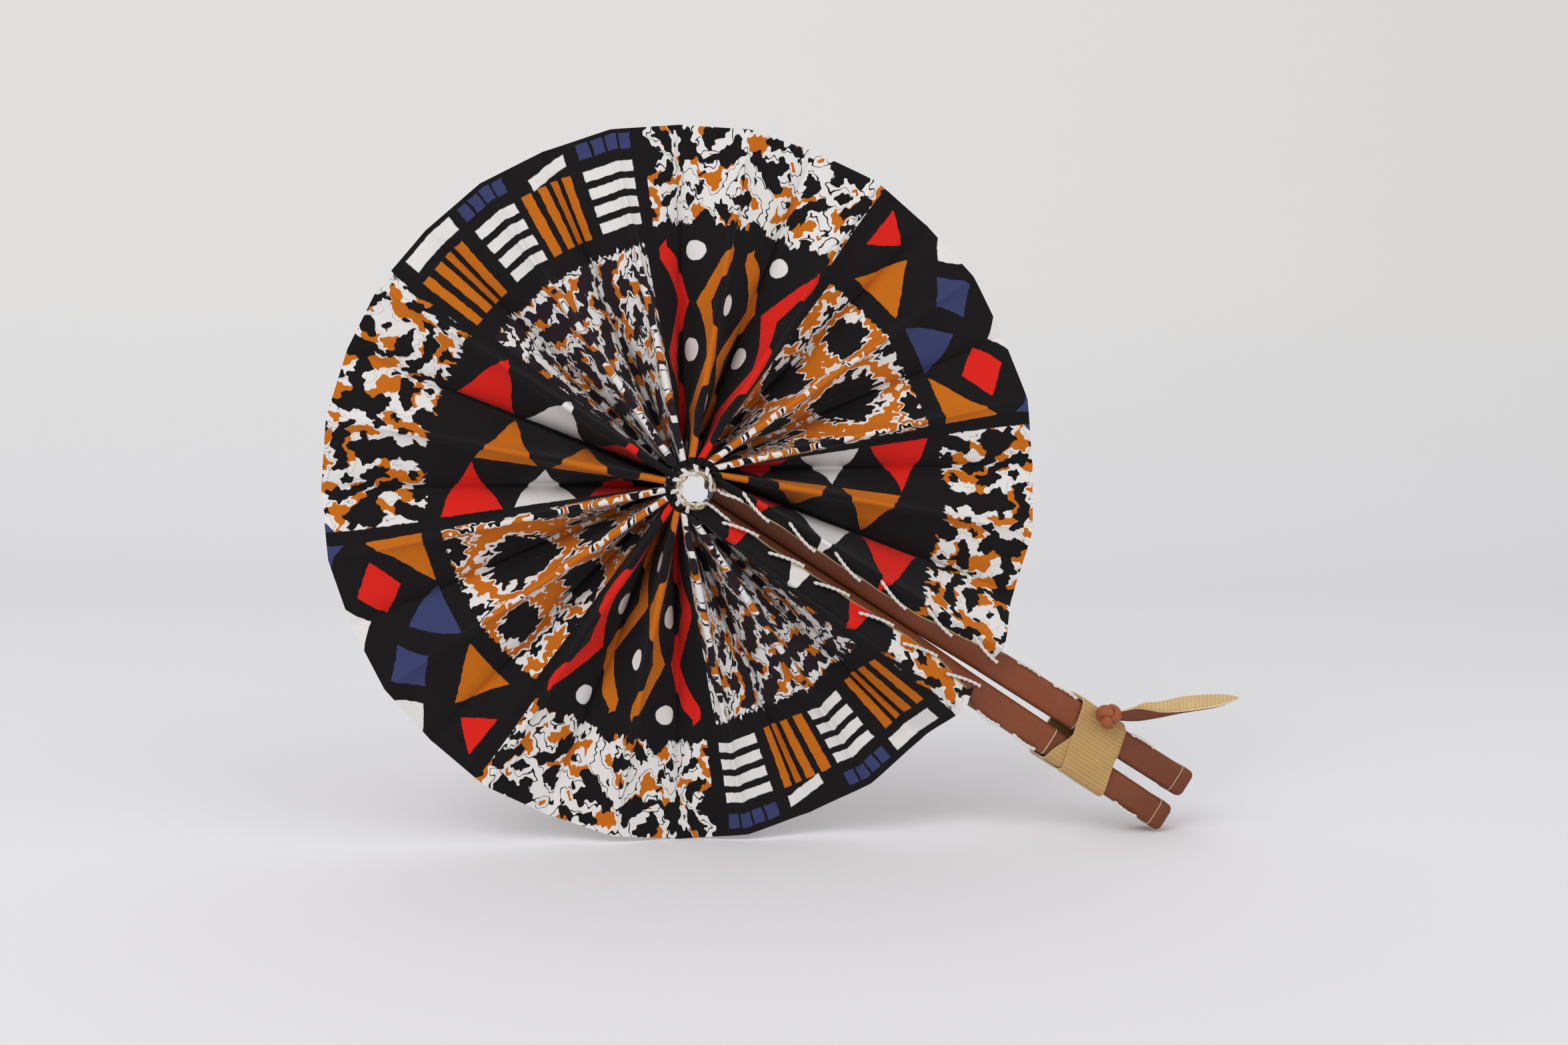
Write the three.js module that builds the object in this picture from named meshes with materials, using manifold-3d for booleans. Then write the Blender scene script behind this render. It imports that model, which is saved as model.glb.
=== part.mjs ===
// Folding hand fan of pleated printed cloth, opened to a full circle, in millimetres.
// Two leather-covered sticks meet as the handle. The cloth runs from one stick all the way round
// to the other, and its folds gather round a leather band at the hub. A strap holds the sticks together.
// The fan stands upright and faces -Y, on its rim and on the end of its lower stick.

import * as THREE from 'three';
import { mergeVertices } from 'three/addons/utils/BufferGeometryUtils.js';
import Module from 'manifold-3d';

const wasm = await Module();
wasm.setup();

// Cloth
const foldCount = 32; // strips between one crease and the next
const clothWidth = 117; // along a crease, from the hub to the rim
const rimWave = 4; // front to back, at the rim of the open fan
const clothThickness = 0.5;
const creaseInset = 0.42; // from a crease to the edge of each strip beside it
const hubStart = 0.75; // from the inner end of a crease to the cloth
const rowsPerFold = 10;

// Hub
const hubRadius = 8.6; // to the inner ends of the creases
const bandInnerRadius = 7.75;
const bandThickness = 0.7;
const creasesPerBandPiece = 4;
const bandGap = 0.6;
const laceRadius = 0.7;
const laceOverhang = 0.9; // out past the band's outer face
const laceTurns = 4; // on each face of a length of the band
const laceShare = 0.66; // of that length's angle that its lace takes
const laceCrossing = 10; // from the fan's middle to where the lace turns along the hole

// Sticks and their leather
const handleAngle = -32.45; // degrees from +X, so that rim and stick end stand level
const stickLength = 211; // from the middle of the hub
const guardSpread = 2.4; // degrees from the middle of the handle to the first crease
const endFoldAngle = 9.2; // degrees from the first crease to the second
const hubHalfWidth = 7; // middle of the handle to the first crease, at the hub
const stickStart = 9.8;
const stickDepth = 10; // front to back
const stickHubThickness = 4.9;
const stickThickness = 8.2;
const stickChamfer = 1.2;
const stickGapAtHub = 0.25; // half the gap between the sticks
const stickBow = 4e-5; // how fast the sticks part, per millimetre squared
const leather = 0.9;
const clearance = 0.3;
const guardTipSetback = 0.6;
const capLength = 5.7;
const capWall = 0.9;
const sleeveLength = 43.3; // with its clearance at both ends, between the long leather and the cap
const flangeSetback = 4.6; // from the rim in to the end of the leather's two flanges
const guardRows = 10;

// Stitches of white cord
const stitchRadius = 0.5;
const stitchPitch = 17;
const stitchStart = 9;
const stitchInside = 3.2; // from the first crease back over the leather
const stitchOutside = 2.2; // from the first crease out over the cloth
const seamInset = 5; // from the flanges on to the start of the seam
const seamSetback = 4; // from the end of the seam to the end of the long leather
const seamHalfWidth = 1.2;

// Strap
const strapInset = 1.2; // from the end of the long leather
const strapWidth = 19;
const strapThickness = 1.2;
const strapSideClearance = 0.9;
const strapFaceClearance = 0.4;
const strapCorner = 2.5;
const knotRadius = 3.7;
const knotInset = 8.3; // down from the edge of the strap
const knotAcross = 10.2;
const tailLength = 52;
const tailWidth = 5.4;
const tailThickness = 1;
const tailAngle = 40; // degrees from the handle's direction
const tailTwist = 50; // degrees from the knot to the tip
const tailSag = 3;

const rad = THREE.MathUtils.degToRad;
const lerp = THREE.MathUtils.lerp;

// Sizes that follow from the ones above
const openAngle = 360 - 2 * guardSpread;
const foldStep = (openAngle - 2 * endFoldAngle) / (foldCount - 2);
const fanRadius = hubRadius + clothWidth;
const rimChord = 2 * fanRadius * Math.sin(rad(foldStep / 2));
const halfDepth = Math.hypot(rimChord, rimWave) / 2;
const ringStart = THREE.MathUtils.radToDeg(Math.asin(hubHalfWidth / hubRadius));
const ringStep = (360 - 2 * ringStart) / foldCount;
const hubPitch = 2 * hubRadius * Math.sin(rad(ringStep / 2));
const bandPieces = foldCount / creasesPerBandPiece - 1;
const bandOuterRadius = bandInnerRadius + bandThickness;
const flangeEnd = fanRadius - flangeSetback;
const capStart = stickLength - capLength;
const guardEnd = capStart - sleeveLength;
const seamStart = flangeEnd + seamInset;
const seamEnd = guardEnd - seamSetback;
const strapStart = guardEnd + strapInset;
const coverThickness = leather + clearance; // leather and the air under it
const sleeveThickness = stickThickness + 2 * coverThickness;
const sleeveHalfDepth = stickDepth / 2 + coverThickness;

const finishes = {
  cloth: { color: 0x1c1820, roughness: 0.85, metalness: 0 },
  clothAlt: { color: 0xb4641a, roughness: 0.85, metalness: 0 },
  leather: { color: 0x7d4428, roughness: 0.55, metalness: 0 },
  wood: { color: 0xb98d5a, roughness: 0.7, metalness: 0 },
  cord: { color: 0xe6e1d6, roughness: 0.9, metalness: 0 },
  strap: { color: 0xc7a36b, roughness: 0.85, metalness: 0 },
};

const fan = new THREE.Group();

function addPiece(name, geometry, finish) {
  const piece = new THREE.Mesh(geometry, new THREE.MeshStandardMaterial(finishes[finish]));
  piece.name = name;
  fan.add(piece);
}

// Positions round the hub: angle in degrees from the handle, radius from the hub, depth along Y
function roundHub(angle, radius, depth) {
  const a = rad(handleAngle + angle);
  return new THREE.Vector3(radius * Math.cos(a), depth, radius * Math.sin(a));
}

// Positions on a stick: side is 1 for the upper stick and -1 for the lower one,
// along runs down the handle, across away from the handle's middle
function onStick(side, along, across, depth) {
  return roundHub(0, along, depth).add(roundHub(90, side * across, 0));
}

// Solids

function signedVolume(geometry) {
  const p = geometry.getAttribute('position');
  const index = geometry.getIndex();
  const corners = [new THREE.Vector3(), new THREE.Vector3(), new THREE.Vector3()];
  let volume = 0;
  for (let i = 0; i < index.count; i += 3) {
    corners.forEach((corner, j) => corner.fromBufferAttribute(p, index.getX(i + j)));
    volume += corners[0].dot(corners[1].clone().cross(corners[2])) / 6;
  }
  return volume;
}

function turnedOut(geometry) {
  if (signedVolume(geometry) < 0) {
    const index = geometry.getIndex();
    for (let i = 0; i < index.count; i += 3) {
      const first = index.getX(i);
      index.setX(i, index.getX(i + 1));
      index.setX(i + 1, first);
    }
  }
  return geometry;
}

// A closed body through rings of points. outline is the ring's flat shape, which the two ends fill.
function loft(outline, rings) {
  const count = outline.length;
  const index = [];
  for (let r = 0; r + 1 < rings.length; r++) {
    for (let i = 0; i < count; i++) {
      const a = r * count + i;
      const b = r * count + ((i + 1) % count);
      index.push(a, b, b + count, a, b + count, a + count);
    }
  }
  const last = (rings.length - 1) * count;
  const outlineTurn = Math.sign(THREE.ShapeUtils.area(outline));
  for (const triangle of THREE.ShapeUtils.triangulateShape(outline, [])) {
    const turn = Math.sign(THREE.ShapeUtils.area(triangle.map((i) => outline[i])));
    const [a, b, c] = turn === outlineTurn ? triangle : [...triangle].reverse();
    index.push(c, b, a, last + a, last + b, last + c);
  }
  const geometry = new THREE.BufferGeometry();
  geometry.setAttribute('position', new THREE.Float32BufferAttribute(rings.flat().flatMap((p) => [...p]), 3));
  geometry.setIndex(index);
  return turnedOut(geometry);
}

// A thin closed body. rows are equal lists of points on its middle surface, and halves hold the way
// from that surface to its face at each row. Both faces are cut into the same triangles.
function thinSheet(rows, halves) {
  const count = rows[0].length;
  const faceSize = rows.length * count;
  const faces = [1, -1].map((turn) => rows.flatMap((row, r) => {
    return row.map((p) => p.clone().addScaledVector(halves[r], turn));
  }));
  const index = [];
  for (let r = 0; r + 1 < rows.length; r++) {
    for (let i = 0; i + 1 < count; i++) {
      const a = r * count + i;
      const b = a + 1;
      const [c, d] = [b + count, a + count];
      index.push(a, b, c, a, c, d);
      index.push(...[c, b, a, d, c, a].map((corner) => corner + faceSize));
    }
  }
  const firstRow = rows[0].map((_, i) => i);
  const lastRow = firstRow.map((i) => faceSize - 1 - i);
  const rightEdge = rows.map((_, r) => r * count + count - 1);
  const leftEdge = rows.map((_, r) => (rows.length - 1 - r) * count);
  for (const edge of [firstRow, rightEdge, lastRow, leftEdge]) {
    for (let i = 0; i + 1 < edge.length; i++) {
      const [a, b] = [edge[i], edge[i + 1]];
      index.push(b, a, a + faceSize, b, a + faceSize, b + faceSize);
    }
  }
  const geometry = new THREE.BufferGeometry();
  geometry.setAttribute('position', new THREE.Float32BufferAttribute(faces.flat().flatMap((p) => [...p]), 3));
  geometry.setIndex(index);
  return turnedOut(geometry);
}

function toSolid(geometry) {
  const bare = geometry.clone();
  for (const name of ['normal', 'uv']) bare.deleteAttribute(name);
  const merged = turnedOut(mergeVertices(bare, 1e-4));
  return new wasm.Manifold(new wasm.Mesh({
    numProp: 3,
    vertProperties: new Float32Array(merged.getAttribute('position').array),
    triVerts: new Uint32Array(merged.getIndex().array),
  }));
}

function toGeometry(solid) {
  const mesh = solid.getMesh();
  const geometry = new THREE.BufferGeometry();
  geometry.setAttribute('position', new THREE.BufferAttribute(mesh.vertProperties, 3));
  geometry.setIndex(new THREE.BufferAttribute(mesh.triVerts, 1));
  return geometry;
}

function union(geometries) {
  return geometries.map(toSolid).reduce((whole, part) => whole.add(part));
}

// A round cord through the given points
function cord(points, radius, sides = 6) {
  const path = new THREE.CatmullRomCurve3(points);
  const section = new THREE.Shape(
    Array.from({ length: sides }, (_, i) => {
      const a = (2 * Math.PI * i) / sides;
      return new THREE.Vector2(radius * Math.cos(a), radius * Math.sin(a));
    }),
  );
  const steps = 2 * (points.length - 1);
  const geometry = new THREE.ExtrudeGeometry(section, { steps, extrudePath: path, bevelEnabled: false });
  for (const name of ['normal', 'uv']) geometry.deleteAttribute(name);
  return turnedOut(mergeVertices(geometry, 1e-4));
}

// Creases of the cloth. Even ones lie at the front, and the first and last lie on the guards.

function creaseAngle(k) {
  if (k === 0) return guardSpread;
  if (k === foldCount) return 360 - guardSpread;
  return guardSpread + endFoldAngle + (k - 1) * foldStep;
}

function creaseLine(k) {
  const front = k % 2 === 0 ? -1 : 1;
  const onGuard = k === 0 || k === foldCount;
  const hub = roundHub(ringStart + k * ringStep, hubRadius, front * halfDepth);
  const rimDepth = onGuard ? 0 : front * (rimWave / 2 - halfDepth);
  const rim = hub.clone().add(roundHub(creaseAngle(k), clothWidth, rimDepth));
  return new THREE.Line3(hub, rim);
}

function clothStrip(k) {
  const first = creaseLine(k - 1);
  const second = creaseLine(k);
  const rows = [];
  const halves = [];
  for (let row = 0; row <= rowsPerFold; row++) {
    const t = lerp(hubStart / clothWidth, 1, row / rowsPerFold);
    const a = first.at(t, new THREE.Vector3());
    const b = second.at(t, new THREE.Vector3());
    const inPlane = b.clone().sub(a).setY(0);
    const inset = inPlane.clone().setLength(creaseInset);
    a.add(inset);
    b.sub(inset);
    const along = first.delta(new THREE.Vector3()).add(second.delta(new THREE.Vector3()));
    rows.push([a, a.clone().lerp(b, 0.5), b]);
    halves.push(b.clone().sub(a).cross(along).setLength(clothThickness / 2));
  }
  return thinSheet(rows, halves);
}

for (let k = 1; k <= foldCount; k++) {
  addPiece(`cloth_fold_${String(k).padStart(2, '0')}`, clothStrip(k), k % 2 ? 'cloth' : 'clothAlt');
}

// Leather band round the hub, in lengths that bend at their joints

// One cord that crosses the band's front edge to and fro, runs back along the hole and does the same there
function bandLace(from, to) {
  const inner = bandInnerRadius - clearance - laceRadius;
  const outer = bandOuterRadius + laceOverhang;
  const depth = halfDepth + clearance + laceRadius;
  const front = [];
  for (let i = 0; i < laceTurns; i++) {
    const radius = i % 2 ? inner : outer;
    front.push(roundHub(lerp(from, to, i / (laceTurns - 1)), radius, -depth));
  }
  const crossing = roundHub((from + to) / 2, inner, -laceCrossing);
  const there = [...front, crossing];
  const back = there.map((p) => p.clone().setY(-p.y)).reverse();
  return cord([...there, ...back], laceRadius);
}

function bandPiece(j) {
  const length = creasesPerBandPiece * hubPitch - bandGap;
  const geometry = new THREE.BoxGeometry(bandThickness, 2 * halfDepth, length);
  const angle = ringStart + creasesPerBandPiece * j * ringStep;
  const centre = roundHub(angle, (bandInnerRadius + bandOuterRadius) / 2, 0);
  geometry.rotateY(-rad(handleAngle + angle));
  geometry.translate(centre.x, centre.y, centre.z);
  return geometry;
}

for (let j = 1; j <= bandPieces; j++) {
  const middle = ringStart + creasesPerBandPiece * j * ringStep;
  const half = (laceShare * creasesPerBandPiece * ringStep) / 2;
  addPiece(`hub_band_${j}`, bandPiece(j), 'leather');
  addPiece(`hub_lace_${j}`, bandLace(middle - half, middle + half), 'cord');
}

// Sticks

function matingFace(along) {
  return stickGapAtHub + stickBow * along * along;
}

function firstCreaseAcross(along) {
  const start = Math.sqrt(hubRadius ** 2 - hubHalfWidth ** 2);
  return hubHalfWidth + (along - start) * Math.tan(rad(guardSpread));
}

function coreThickness(along) {
  return lerp(stickHubThickness, stickThickness, Math.min(1, (along - stickStart) / (flangeEnd - stickStart)));
}

// An eight-sided section, in across and depth
function chamferedSection(from, to, half, chamfer) {
  const corners = [
    [from, chamfer - half], [from + chamfer, -half], [to - chamfer, -half], [to, chamfer - half],
    [to, half - chamfer], [to - chamfer, half], [from + chamfer, half], [from, half - chamfer],
  ];
  return corners.map(([x, y]) => new THREE.Vector2(x, y));
}

function boxAlongStick(side, start, end, section, rows = 6) {
  const rings = [];
  for (let row = 0; row <= rows; row++) {
    const along = lerp(start, end, row / rows);
    rings.push(section(along).map((p) => onStick(side, along, p.x, p.y)));
  }
  return loft(section(start), rings);
}

function coreSection(grow) {
  return (along) => {
    const from = matingFace(along) + coverThickness;
    const to = from + coreThickness(along);
    return chamferedSection(from - grow, to + grow, stickDepth / 2 + grow, stickChamfer + grow / 2);
  };
}

function sleeveSection(along) {
  const from = matingFace(along);
  return chamferedSection(from, from + sleeveThickness, sleeveHalfDepth, stickChamfer + leather);
}

function stickCore(side) {
  return boxAlongStick(side, stickStart, stickLength - capWall - clearance, coreSection(0), guardRows);
}

// The guard's leather is a channel over the stick, whose two edges reach the cloth's first crease
function channelOutline(along) {
  const tip = firstCreaseAcross(along) - guardTipSetback;
  const crest = matingFace(along);
  const outer = [[tip, -halfDepth], [crest, -sleeveHalfDepth], [crest, sleeveHalfDepth], [tip, halfDepth]];
  const inner = [
    [tip, halfDepth - leather], [crest + leather, sleeveHalfDepth - leather / 2],
    [crest + leather, leather / 2 - sleeveHalfDepth], [tip, leather - halfDepth],
  ];
  return [...outer, ...inner].map(([x, y]) => new THREE.Vector2(x, y));
}

function guardChannel(side) {
  const ringMiddle = (bandInnerRadius + bandOuterRadius) / 2;
  const rings = [];
  for (let row = 0; row <= guardRows; row++) {
    const share = row / guardRows;
    const outline = channelOutline(lerp(ringMiddle, flangeEnd, share));
    rings.push(outline.map((p) => {
      const hubEnd = Math.sqrt(Math.max(ringMiddle ** 2 - p.x ** 2, 0));
      return onStick(side, lerp(hubEnd, flangeEnd, share), p.x, p.y);
    }));
  }
  return loft(channelOutline(ringMiddle), rings);
}

// The end of the band that belongs to a guard: an arc of leather over the stick's hub end
function guardLug(side) {
  const from = THREE.MathUtils.radToDeg(Math.asin(stickGapAtHub / bandInnerRadius));
  const halfGap = THREE.MathUtils.radToDeg(bandGap / 2 / bandInnerRadius);
  const to = ringStart + (creasesPerBandPiece / 2) * ringStep - halfGap;
  const steps = 5;
  const outline = [];
  for (const [radius, first, last] of [[bandInnerRadius, from, to], [bandOuterRadius, to, from]]) {
    for (let i = 0; i <= steps; i++) {
      outline.push([radius, lerp(first, last, i / steps)]);
    }
  }
  const depths = [-halfDepth, halfDepth];
  const rings = depths.map((depth) => outline.map(([radius, angle]) => roundHub(side * angle, radius, depth)));
  const flat = outline.map(([radius, angle]) => {
    return new THREE.Vector2(radius * Math.cos(rad(angle)), radius * Math.sin(rad(angle)));
  });
  return loft(flat, rings);
}

// What lies inside the channel's outer faces, from the hub to beyond the band
function channelEnvelope(side) {
  const crest = matingFace(bandInnerRadius);
  const tip = firstCreaseAcross(bandInnerRadius) - guardTipSetback;
  const far = hubRadius * 2;
  const outline = [
    [crest, -sleeveHalfDepth], [tip, -halfDepth], [far, -halfDepth],
    [far, halfDepth], [tip, halfDepth], [crest, sleeveHalfDepth],
  ].map(([x, y]) => new THREE.Vector2(x, y));
  const rings = [0, 2 * hubRadius].map((along) => outline.map((p) => onStick(side, along, p.x, p.y)));
  return loft(outline, rings);
}

function guardLeather(side) {
  const lug = toSolid(guardLug(side)).intersect(toSolid(channelEnvelope(side)));
  const tube = toSolid(boxAlongStick(side, flangeEnd - 1, guardEnd, sleeveSection));
  const cover = toSolid(guardChannel(side)).add(lug).add(tube);
  const room = boxAlongStick(side, stickStart - 1, stickLength, coreSection(clearance), guardRows);
  return toGeometry(cover.subtract(toSolid(room)));
}

function handleSleeve(side) {
  const outside = toSolid(boxAlongStick(side, guardEnd + clearance, capStart - clearance, sleeveSection));
  const room = boxAlongStick(side, guardEnd - leather, capStart + leather, coreSection(clearance));
  return toGeometry(outside.subtract(toSolid(room)));
}

function endCap(side) {
  const outside = toSolid(boxAlongStick(side, capStart, stickLength, sleeveSection, 2));
  const room = boxAlongStick(side, capStart - 1, stickLength - capWall, coreSection(clearance), 2);
  return toGeometry(outside.subtract(toSolid(room)));
}

// One white cord: slanting stitches along the guard's front edge, the seam down the handle and back,
// and slanting stitches along the back edge
function guardStitches(side) {
  const depth = halfDepth + clearance + stitchRadius;
  const front = [];
  const turns = Math.floor((2 * (flangeEnd - stitchStart)) / stitchPitch) - 1;
  for (let i = 0; i <= turns; i++) {
    const along = stitchStart + (i * stitchPitch) / 2;
    const offset = i % 2 ? -stitchInside : stitchOutside;
    front.push(onStick(side, along, firstCreaseAcross(along) + offset, -depth));
  }
  const outside = firstCreaseAcross(flangeEnd) + stitchOutside;
  const corner = [
    onStick(side, flangeEnd, outside, -depth),
    onStick(side, (flangeEnd + seamStart) / 2, outside, -sleeveHalfDepth - clearance),
  ];
  const seam = [seamStart, (seamStart + seamEnd) / 2, seamEnd].map((along) => {
    const across = matingFace(along) + sleeveThickness + clearance + stitchRadius;
    return onStick(side, along, across, -seamHalfWidth);
  });
  const there = [...front, ...corner, ...seam];
  const back = there.map((p) => p.clone().setY(-p.y)).reverse();
  return cord([...there, ...back], stitchRadius);
}

for (const [place, side] of [['upper', 1], ['lower', -1]]) {
  addPiece(`stick_${place}`, stickCore(side), 'wood');
  addPiece(`guard_leather_${place}`, guardLeather(side), 'leather');
  addPiece(`handle_sleeve_${place}`, handleSleeve(side), 'leather');
  addPiece(`end_cap_${place}`, endCap(side), 'leather');
  addPiece(`guard_stitches_${place}`, guardStitches(side), 'cord');
}

// Strap round both sticks, with its knot and its pointed tail

function roundedOutline(Type, halfAcross, half, corner) {
  const outline = new Type();
  const centres = [
    [halfAcross - corner, half - corner, 0], [corner - halfAcross, half - corner, 90],
    [corner - halfAcross, corner - half, 180], [halfAcross - corner, corner - half, 270],
  ];
  outline.moveTo(halfAcross, half - corner);
  for (const [x, y, start] of centres) {
    outline.absarc(x, y, corner, rad(start), rad(start + 90), false);
  }
  outline.closePath();
  return outline;
}

function strapBand() {
  const halfAcross = matingFace(strapStart + strapWidth) + sleeveThickness + strapSideClearance;
  const half = sleeveHalfDepth + strapFaceClearance;
  const wall = strapThickness;
  const outside = roundedOutline(THREE.Shape, halfAcross + wall, half + wall, strapCorner + wall);
  outside.holes.push(roundedOutline(THREE.Path, halfAcross, half, strapCorner));
  const geometry = new THREE.ExtrudeGeometry(outside, { depth: strapWidth, bevelEnabled: false, curveSegments: 4 });
  const across = roundHub(90, 1, 0);
  const down = roundHub(0, 1, 0);
  const front = new THREE.Vector3().crossVectors(down, across);
  geometry.applyMatrix4(new THREE.Matrix4().makeBasis(across, front, down));
  const start = onStick(1, strapStart, 0, 0);
  geometry.translate(start.x, start.y, start.z);
  return geometry;
}

function knotTurns() {
  const strand = knotRadius * 0.45;
  const turns = [0, 60, 120].map((lean) => {
    const loop = new THREE.TorusGeometry(knotRadius - strand, strand, 6, 14);
    loop.rotateX(rad(70));
    loop.rotateY(rad(lean));
    return loop;
  });
  const ball = new THREE.SphereGeometry(knotRadius * 0.8, 12, 8);
  const knot = toGeometry(union([ball, ...turns]));
  knot.computeBoundingBox();
  return knot;
}

// The knot rests on the front of the strap
const knot = knotTurns();
const strapFront = sleeveHalfDepth + strapFaceClearance + strapThickness;
const knotCentre = onStick(1, strapStart + knotInset, knotAcross, -strapFront - clearance - knot.boundingBox.max.y);
knot.translate(knotCentre.x, knotCentre.y, knotCentre.z);

function strapTail() {
  const steps = 12;
  const rows = [];
  const halves = [];
  const start = knotRadius + clearance;
  for (let i = 0; i <= steps; i++) {
    const share = i / steps;
    const reach = start + share * tailLength;
    const side = new THREE.Vector3().copy(roundHub(tailAngle + 90, 1, 0));
    const turn = rad(lerp(90 - tailTwist, 90, share));
    const across = side.multiplyScalar(Math.cos(turn)).add(new THREE.Vector3(0, Math.sin(turn), 0));
    const face = across.clone().cross(roundHub(tailAngle, 1, 0)).normalize();
    const swell = Math.min(1, 0.45 + 1.6 * share) * Math.min(1, 0.16 + 2.6 * (1 - share));
    const half = (tailWidth / 2) * swell;
    const centre = knotCentre.clone().add(roundHub(tailAngle, reach, 0));
    centre.z -= tailSag * 4 * share * (1 - share);
    rows.push([-1, 0, 1].map((edge) => centre.clone().addScaledVector(across, edge * half)));
    halves.push(face.setLength(tailThickness / 2));
  }
  return thinSheet(rows, halves);
}

addPiece('strap_band', strapBand(), 'strap');
addPiece('strap_knot', knot, 'leather');
addPiece('strap_tail', strapTail(), 'leather');

// The origin lies under the middle of the fan, on the surface that it stands on
const box = new THREE.Box3().setFromObject(fan);
const middle = box.getCenter(new THREE.Vector3());
fan.position.set(-middle.x, -middle.y, -box.min.z);

export default fan;
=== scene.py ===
# Folding hand fan of pleated printed cloth, open to a full circle, with leather guards and a strap
import math

import bmesh
import bpy
from mathutils import Matrix, Vector, noise


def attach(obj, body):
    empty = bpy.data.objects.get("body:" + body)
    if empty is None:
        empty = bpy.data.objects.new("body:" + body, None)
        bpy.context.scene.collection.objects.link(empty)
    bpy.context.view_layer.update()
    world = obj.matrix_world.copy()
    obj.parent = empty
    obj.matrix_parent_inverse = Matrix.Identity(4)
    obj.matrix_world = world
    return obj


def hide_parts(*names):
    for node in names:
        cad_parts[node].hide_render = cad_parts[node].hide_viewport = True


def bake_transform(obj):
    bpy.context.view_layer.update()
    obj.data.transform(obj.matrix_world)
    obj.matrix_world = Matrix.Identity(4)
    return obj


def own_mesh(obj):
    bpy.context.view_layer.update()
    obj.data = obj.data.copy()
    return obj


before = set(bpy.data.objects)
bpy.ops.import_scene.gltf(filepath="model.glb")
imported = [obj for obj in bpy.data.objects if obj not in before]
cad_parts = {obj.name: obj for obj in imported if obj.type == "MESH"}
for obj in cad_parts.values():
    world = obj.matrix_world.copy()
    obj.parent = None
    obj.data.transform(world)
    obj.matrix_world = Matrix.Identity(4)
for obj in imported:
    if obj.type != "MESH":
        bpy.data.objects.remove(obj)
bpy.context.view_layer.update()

mm = 0.001

# The fan's own sizes, in millimetres and degrees, as its solids have them
fan = {
    "hub": (-40.169, 0, 123.893),
    "handleAngle": -32.45,
    "foldCount": 32,
    "clothWidth": 117,
    "rimWave": 4,
    "hubRadius": 8.6,
    "hubHalfWidth": 7,
    "guardSpread": 2.4,
    "endFoldAngle": 9.2,
    "foldDepth": 24.9,
}


def mix(a, b, share):
    return a + (b - a) * share


def smooth(share):
    share = min(1, max(0, share))
    return share * share * (3 - 2 * share)


fanRadius = fan["hubRadius"] + fan["clothWidth"]
foldStep = (360 - 2 * fan["guardSpread"] - 2 * fan["endFoldAngle"]) / (fan["foldCount"] - 2)
rimChord = 2 * fanRadius * math.sin(math.radians(foldStep / 2))
halfDepth = math.hypot(rimChord, fan["rimWave"]) / 2
ringStart = math.degrees(math.asin(fan["hubHalfWidth"] / fan["hubRadius"]))
ringStep = (360 - 2 * ringStart) / fan["foldCount"]


# A place by its angle from the handle, its radius from the hub and its depth, given in metres
def roundHub(angle, radius, depth):
    a = math.radians(fan["handleAngle"] + angle)
    return (Vector(fan["hub"]) + Vector((radius * math.cos(a), depth, radius * math.sin(a)))) * mm


# A direction in the fan's plane, by its angle from the handle
def wayRound(angle):
    a = math.radians(fan["handleAngle"] + angle)
    return Vector((math.cos(a), 0, math.sin(a)))


down = wayRound(0)
up = wayRound(90)
back = Vector((0, 1, 0))


# A place on a stick: side is 1 for the upper stick, across is measured away from the handle's middle
def onStick(side, along, across, depth):
    return roundHub(0, along, depth) + up * side * across * mm


def creaseLine(k):
    front = -1 if k % 2 == 0 else 1
    onGuard = k in (0, fan["foldCount"])
    if onGuard:
        angle = fan["guardSpread"] if k == 0 else 360 - fan["guardSpread"]
    else:
        angle = fan["guardSpread"] + fan["endFoldAngle"] + (k - 1) * foldStep
    hubEnd = roundHub(ringStart + k * ringStep, fan["hubRadius"], front * halfDepth)
    rimDepth = 0 if onGuard else front * (fan["rimWave"] / 2 - halfDepth)
    rimEnd = hubEnd + (wayRound(angle) * fan["clothWidth"] + back * rimDepth) * mm
    return hubEnd, rimEnd


def mathNode(operation, swapped=False):
    def result(wire, *others):
        return wire.graph.math(operation, *((*others, wire) if swapped else (wire, *others)))
    return result


# An output in a node tree. Sums and products of it add Math nodes.
class Wire:
    def __init__(self, graph, socket):
        self.graph = graph
        self.socket = socket

    __add__ = __radd__ = mathNode("ADD")
    __mul__ = __rmul__ = mathNode("MULTIPLY")
    __sub__ = mathNode("SUBTRACT")
    __rsub__ = mathNode("SUBTRACT", swapped=True)
    __truediv__ = mathNode("DIVIDE")
    __mod__ = mathNode("FLOORED_MODULO")
    __abs__ = mathNode("ABSOLUTE")


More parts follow.
